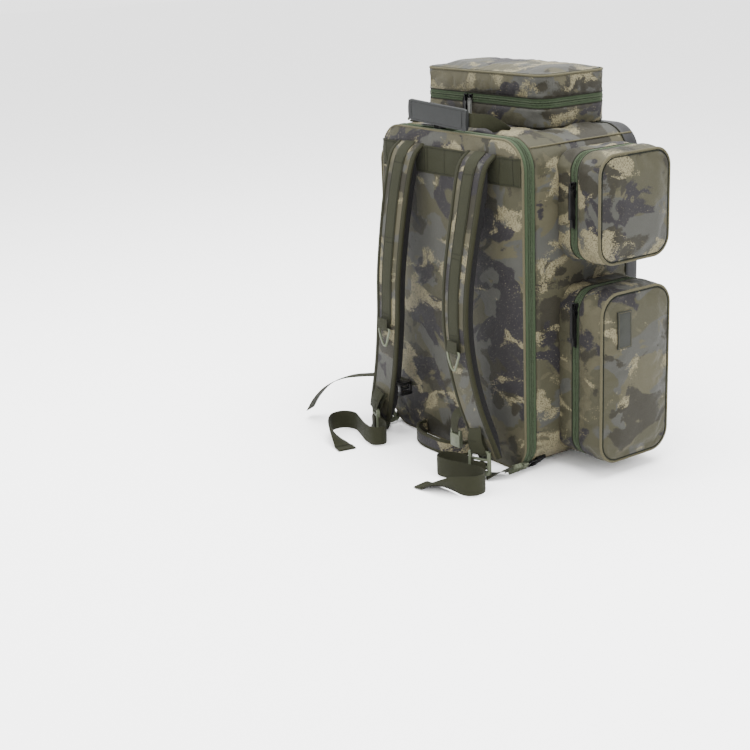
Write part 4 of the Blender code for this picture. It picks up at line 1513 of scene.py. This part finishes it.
for word, mirror in SIDES:
    along, out = corner_axes(mirror)
    tab_low, tab_high = corners(f"ring_tab_{word}")
    tab_middle = (tab_low + tab_high) / 2
    bm = bmesh.new()
    rounded_box(bm, tab_middle, along, BACKWARD, out, (22 * MM, 20 * MM, 3 * MM), 0.3)
    fitting(f"ring_tab_band_{word}", bm, black_tape, "bag", "black_plastic", f"ring_tab_{word}")
    fold = bar_loop(f"ring_tab_fold_{word}", Vector((tab_middle.x, tab_low.y - 2.5 * MM,
                                                     tab_middle.z)) + out * 3.3 * MM,
                    2.6 * MM, 18 * MM, 6 * MM, 0.0, black_tape, along, BACKWARD, out)
    place_on(fold, "bag", "black_plastic")
    ring_low, ring_high = corners(f"d_ring_{word}")
    middle = (ring_low + ring_high) / 2
    d_shape = ((-11, 7.5), (11, 7.5), (11.4, 0), (9, -5), (5, -7.4), (0, -8), (-5, -7.4), (-9, -5),
               (-11.4, 0))
    ring = wire_piece(f"d_ring_wire_{word}", around(middle, along, BACKWARD, d_shape), 1.6 * MM,
                      black_steel, closed=True, sides=3)
    place_on(ring, "bag", "blackened_metal", f"d_ring_{word}")

    hook_low, hook_high = corners(f"snap_hook_{word}")
    middle = (hook_low + hook_high) / 2
    far, near = hook_low.y - middle.y, hook_high.y - middle.y
    bm = bmesh.new()
    hook_end = middle + BACKWARD * near
    for u, v, wide, tall in ((0, -4.0, 9, 8.5), (0, -10.5, 5, 7)):
        rounded_box(bm, hook_end + BACKWARD * v * MM, along, BACKWARD, out,
                    (wide * MM, tall * MM, 5.6 * MM), 0.35)
    for side in (-1, 1):
        rounded_box(bm, hook_end + along * side * 7.4 * MM - BACKWARD * 20 * MM, along, BACKWARD,
                    out, (4.6 * MM, 13 * MM, 5.0 * MM), 0.35)
    for v, wide in ((-14.5, 19), (-25.5, 19), (-32.0, 22)):
        rounded_box(bm, hook_end + BACKWARD * v * MM, along, BACKWARD, out,
                    (wide * MM, 4.0 * MM, 5.4 * MM), 0.35)
    for side in (-1, 1):
        rounded_box(bm, hook_end + along * side * 9.2 * MM - BACKWARD * 28.5 * MM, along, BACKWARD,
                    out, (4.0 * MM, 9 * MM, 5.0 * MM), 0.35)
    fitting(f"snap_hook_frame_{word}", bm, sage_nylon, "lid", "sage_plastic", f"snap_hook_{word}")
    gate = [hook_end + along * u * MM + BACKWARD * v * MM for u, v in
            ((5.2, -7), (6.4, -1), (5.0, 4.4), (0.5, 6.6), (-4.4, 4.8), (-6.2, 0), (-5.2, -6))]
    clip = wire_piece(f"snap_hook_gate_{word}", smooth_route(gate, 2 * MM), 1.9 * MM, sage_nylon,
                      sides=3)
    place_on(clip, "lid", "sage_plastic")
print("corner rings and snap hooks made")

# %% [markdown]
# ## Adjuster webbing and its tails
# Wide webbing joins the hook to the ladder lock, and its long free tail lies in a loop on
# the floor. A strip that only bends would look like paper, so each tail turns over along
# its way, and ends in a stitched fold.

# %% Adjusters and tails
TAIL_ROUTE = (
    (0.158, -0.2245),
    (0.132, -0.2240),
    (0.108, -0.2310),
    (0.092, -0.2470),
    (0.102, -0.2660),
    (0.132, -0.2640),
    (0.167, -0.2520),
    (0.200, -0.2420),
    (0.224, -0.2540),
    (0.226, -0.2800),
    (0.202, -0.3000),
    (0.160, -0.3100),
    (0.118, -0.3180),
)
ADJUSTER = 38 * MM
TAIL_WIDTH = ADJUSTER - 1 * MM
TURN_FROM, TURN_TO = 0.72, 0.94


def length_of(line):
    return sum((end - start).length for start, end in zip(line, line[1:]))


def turned(share):
    return math.pi / 2 * min(max((share - TURN_FROM) / (TURN_TO - TURN_FROM), 0.0), 1.0)


def make_tail(word, mirror):
    line = smooth_route([(mirror * x, y, 0.0) for x, y in TAIL_ROUTE], 4 * MM)
    last = len(line) - 1
    flat = Vector((-0.25 * mirror, -1.0, 0.0))

    def across(share):
        return flat * math.sin(turned(share)) + UP * math.cos(turned(share))

    for i, (point, way, wide, face) in enumerate(frames_along(line, across)):
        wave = 0.6 * MM * (1 - math.cos(i * 0.4)) * math.sin(turned(i / last))
        point.z = ADJUSTER / 2 * abs(wide.z) + 2.5 * MM + wave
    frames = frames_along(line, across)
    thin = band_section(TAIL_WIDTH, 1.4 * MM)
    thick = band_section(TAIL_WIDTH, 3.2 * MM)
    tail = tapered(f"tail_band_{word}", frames,
                   lambda t: thick if t > 0.945 else thin, [olive_webbing])
    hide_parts(f"webbing_tail_{word}")
    on_strap(tail, "olive_webbing")
    point, way, wide, face = frames[round(0.955 * last)]
    rows = []
    for shift in (0, -2.5 * MM):
        for lift in (-1.8 * MM, 1.8 * MM):
            rows.append([point + way * shift + wide * u * MM + face * lift for u in (-16, 0, 16)])
    bm = bmesh.new()
    for row in rows:
        for spot, stitch_way in spaced(row, 3 * MM):
            add_bar(bm, spot, stitch_way, face, 2.2 * MM, 0.9 * MM, 0.5 * MM)
    on_strap(finish_mesh(f"tail_stitches_{word}", bm, [stitch_thread]), "olive_webbing")
    print("tail", word, round(length_of(line), 3), "m long")


for word, mirror in SIDES:
    along, out = corner_axes(mirror)
    low, high = corners(f"snap_hook_{word}")
    middle = (low + high) / 2
    start = Vector((middle.x, low.y - 1.5 * MM, middle.z)) - out * 2 * MM
    route = [start, start - BACKWARD * 8 * MM, (mirror * 0.181, -0.190, 0.0085),
             (mirror * 0.169, -0.206, 0.0040)]
    flat = Vector((0.85 * mirror, -0.52, 0.0))
    band = tapered(f"adjuster_band_{word}",
                   frames_along(smooth_route(route, 3 * MM),
                                lambda share, a=along, f=flat: a.lerp(f, share)),
                   lambda t: band_section(30 * MM + 8 * MM * t, 1.5 * MM), [olive_webbing])
    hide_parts(f"adjuster_webbing_{word}")
    on_strap(band, "olive_webbing")
    make_tail(word, mirror)
print("adjusters and tails made")

# %% [markdown]
# ## Chest strap
# The left strap carries a black keeper with a narrow webbing that curves away to the side
# and down to the floor. The right strap carries the pale buckle it clips into.

# %% Chest strap
STERNUM_ROUTE = (
    (-0.088, -0.178, 0.110),
    (-0.130, -0.177, 0.112),
    (-0.172, -0.182, 0.112),
    (-0.206, -0.206, 0.110),
    (-0.236, -0.236, 0.104),
    (-0.276, -0.252, 0.082),
    (-0.310, -0.260, 0.050),
    (-0.334, -0.264, 0.018),
)
STERNUM_WIDTH = 25 * MM
STERNUM_ACROSS = Vector((0.35, -0.94, 0.0))

line = smooth_route(STERNUM_ROUTE, 4 * MM)
chest_band = strip("chest_band", line, lambda share: STERNUM_ACROSS,
                   band_section(STERNUM_WIDTH, 1.4 * MM), olive_webbing)
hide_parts("sternum_webbing")
on_strap(chest_band, "olive_webbing")

keeper_low, keeper_high = corners("sternum_keeper")
keeper_high.y = keeper_low.y + 28 * MM
middle = (keeper_low + keeper_high) / 2
reach = Vector((keeper_high.x - keeper_low.x, keeper_high.y - keeper_low.y, 26 * MM))
bm = bmesh.new()
for side in (-1, 1):
    rounded_box(bm, middle + UP * side * (reach.z / 2 - 3 * MM), BACKWARD, ACROSS, UP,
                (reach.y, reach.x, 6 * MM), 0.3)
    rounded_box(bm, middle + BACKWARD * side * (reach.y / 2 - 3 * MM), BACKWARD, ACROSS, UP,
                (6 * MM, reach.x, reach.z - 6 * MM), 0.3)
rounded_box(bm, middle, BACKWARD, ACROSS, UP, (reach.y - 8 * MM, reach.x * 0.7, 4 * MM), 0.3)
fitting("keeper_frame", bm, black_nylon, "lid", "black_plastic", "sternum_keeper")

buckle_low, buckle_high = corners("sternum_buckle")
middle = (buckle_low + buckle_high) / 2
reach = buckle_high - buckle_low
bm = bmesh.new()
rounded_box(bm, middle - UP * 3 * MM, ACROSS, BACKWARD, UP, (reach.x, reach.y, reach.z - 10 * MM),
            0.3)
rounded_box(bm, middle - UP * 2 * MM, ACROSS, BACKWARD, UP, (14 * MM, reach.y + 1 * MM, 15 * MM),
            0.2)
rounded_box(bm, middle + UP * (reach.z / 2 - 2.4 * MM), ACROSS, BACKWARD, UP,
            (reach.x, 6 * MM, 4.6 * MM), 0.35)
for side in (-1, 1):
    rounded_box(bm, middle + ACROSS * side * (reach.x / 2 - 2.4 * MM) + UP * (reach.z / 2 - 6 * MM),
                ACROSS, BACKWARD, UP, (4.6 * MM, 6 * MM, 8 * MM), 0.35)
fitting("buckle_frame", bm, sage_nylon, "lid", "sage_plastic", "sternum_buckle")
hang = [(0.100, -0.206, 0.112), (0.091, -0.2085, 0.104), (0.083, -0.2085, 0.088),
        (middle.x, -0.2060, middle.z + reach.z / 2 - 4 * MM)]
hanger = strip("buckle_hanger", smooth_route(hang, 4 * MM), along_x,
               band_section(STERNUM_WIDTH - 5 * MM, 1.4 * MM), olive_webbing)
on_strap(hanger, "olive_webbing")
print("chest strap made")

# %% [markdown]
# ## Handles
# A camouflage loop with dark bindings is sewn to the bottom of the lid. The grab handle on
# top is a flat rubberised grip between two stitched ends, carried by webbing that folds
# back and down into the top panel.

# %% Handles
low, high = corners("bottom_handle")
level = (low.z + high.z) / 2
route = [(-0.088, LID_FACE - 1.5 * MM, 0.017), (-0.084, -0.170, 0.016), (-0.050, -0.190, 0.016),
         (-0.012, -0.194, 0.016), (0.026, -0.190, 0.016), (0.056, -0.170, 0.016),
         (0.060, LID_FACE - 1.5 * MM, 0.017)]
line = smooth_route(route, 5 * MM)
loop = strip("bottom_loop", line, lambda share: UP, domed(13 * MM, -1.6 * MM, 1.6 * MM, 0.6 * MM),
             camo_straps)
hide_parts("bottom_handle")
on_strap(loop, "camo_fabric")
for side in (-1, 1):
    edge = strip(f"bottom_loop_binding_{'top' if side > 0 else 'low'}", line, lambda share: UP,
                 [(side * (14 * MM + u * MM), w * MM) for u, w in
                  ((-5, -2.2), (0, -2.4), (0.8, 0), (0, 2.4), (-5, 2.2))], olive_binding)
    on_strap(edge, "olive_webbing")

GRIP_LEFT, GRIP_RIGHT = Vector((-0.121, -0.1360, 0.6410)), Vector((0.059, -0.1430, 0.6340))
grip_way = (GRIP_RIGHT - GRIP_LEFT).normalized()
grip_out = Vector((grip_way.y, -grip_way.x, 0)).normalized()
grip_up = grip_way.cross(grip_out) * -1
if grip_up.z < 0:
    grip_up.negate()
count = 24
line = [GRIP_LEFT.lerp(GRIP_RIGHT, k / count) + grip_out * 1.5 * MM * math.sin(math.pi * k / count)
        for k in range(count + 1)]
grip = tapered("grip_pad", frames_along(line, lambda share: grip_up),
               lambda t: domed(19 * MM * min(1.0, 0.90 + 3 * t, 0.90 + 3 * (1 - t)), -2.6 * MM,
                               3.4 * MM, 1.4 * MM), [grip_rubber])
place_on(grip, "grab_handle", "slate_grip", "handle_grip")
rows = []
for share in (0.06, 0.94):
    spot = GRIP_LEFT.lerp(GRIP_RIGHT, share)
    rows.append([spot + grip_up * v * MM + grip_out * 4.6 * MM for v in (-14, 0, 14)])
for v in (-15.5, 15.5):
    rows.append([point + grip_up * v * MM + grip_out * 2.8 * MM for point in line[1:-1]])
sew("grip_stitches", rows, grip_out, black_tape, "grab_handle", "slate_grip")
behind = grip_out * -5.75 * MM
route = [(0.106, -0.088, 0.6128), (0.099, -0.101, 0.6190), (0.086, -0.116, 0.6310),
         (0.071, -0.131, 0.6330)]
route += [tuple(GRIP_RIGHT.lerp(GRIP_LEFT, k / 4) + behind) for k in range(5)]
route += [(-0.137, -0.124, 0.6360), (-0.150, -0.108, 0.6240), (-0.158, -0.096, 0.6150),
          (-0.164, -0.088, 0.6128)]


def carried(share):
    """Flat on the top panel at both ends, upright behind the grip."""
    right, left = max(0.0, 1 - share / 0.11), max(0.0, 1 - (1 - share) / 0.17)
    lie = Vector((0.75, 0.55, 0)) * right + Vector((0.75, -0.55, 0)) * left
    return UP * (1 - max(right, left)) + lie


line = smooth_route(route, 4 * MM)
carrier = strip("grip_webbing", line, carried, band_section(25 * MM, 1.8 * MM), olive_webbing)
place_on(carrier, "grab_handle", "olive_webbing", "handle_webbing")
for word, x, y in (("right", 0.106, -0.084), ("left", -0.167, -0.080)):
    patch = bmesh.new()
    rounded_box(patch, Vector((x, y, 0.6092)), ACROSS, BACKWARD, UP, (30 * MM, 24 * MM, 3.4 * MM),
                0.3)
    fitting(f"grip_anchor_{word}", patch, olive_webbing, "bag", "olive_webbing")
print("handles made")

# %% [markdown]
# ## Studio
# A pale paper floor that runs off white, an even white sky, and large soft lamps. Most of
# the light comes from above, so the floor stays brighter than the bag's upright faces.

# %% Studio
def soft_lamp(name, place, target, power, size):
    data = bpy.data.lights.new(name, "AREA")
    data.shape = "DISK"
    data.energy = power
    data.size = size
    lamp = bpy.data.objects.new(name, data)
    lamp.location = place
    way = Vector(target) - Vector(place)
    lamp.rotation_euler = way.to_track_quat("-Z", "Y").to_euler()
    bpy.context.scene.collection.objects.link(lamp)


def make_studio():
    bpy.ops.mesh.primitive_plane_add(size=40, location=(0, 0, 0))
    floor = bpy.context.object
    floor.name = "studio_floor"
    paper, tree, shader = start_material("studio paper", 0.95)
    shader.inputs["Base Color"].default_value = (0.97, 0.97, 0.97, 1)
    shader.inputs["Specular IOR Level"].default_value = 0.1
    floor.data.materials.append(paper)
    world = bpy.data.worlds.new("studio air")
    world.use_nodes = True
    backdrop = world.node_tree.nodes["Background"]
    backdrop.inputs[0].default_value = (1, 1, 1, 1)
    backdrop.inputs[1].default_value = SKY
    bpy.context.scene.world = world
    soft_lamp("overhead lamp", (0.3, 0.1, 3.0), (0, 0, 0), 300, 3.0)
    soft_lamp("key lamp", (-1.0, -2.4, 2.2), (0, 0, 0.3), 66, 1.4)
    soft_lamp("right lamp", (2.8, -0.2, 1.9), (0, 0, 0.3), 54, 1.4)


SKY = 2.5
make_studio()
print("studio ready")
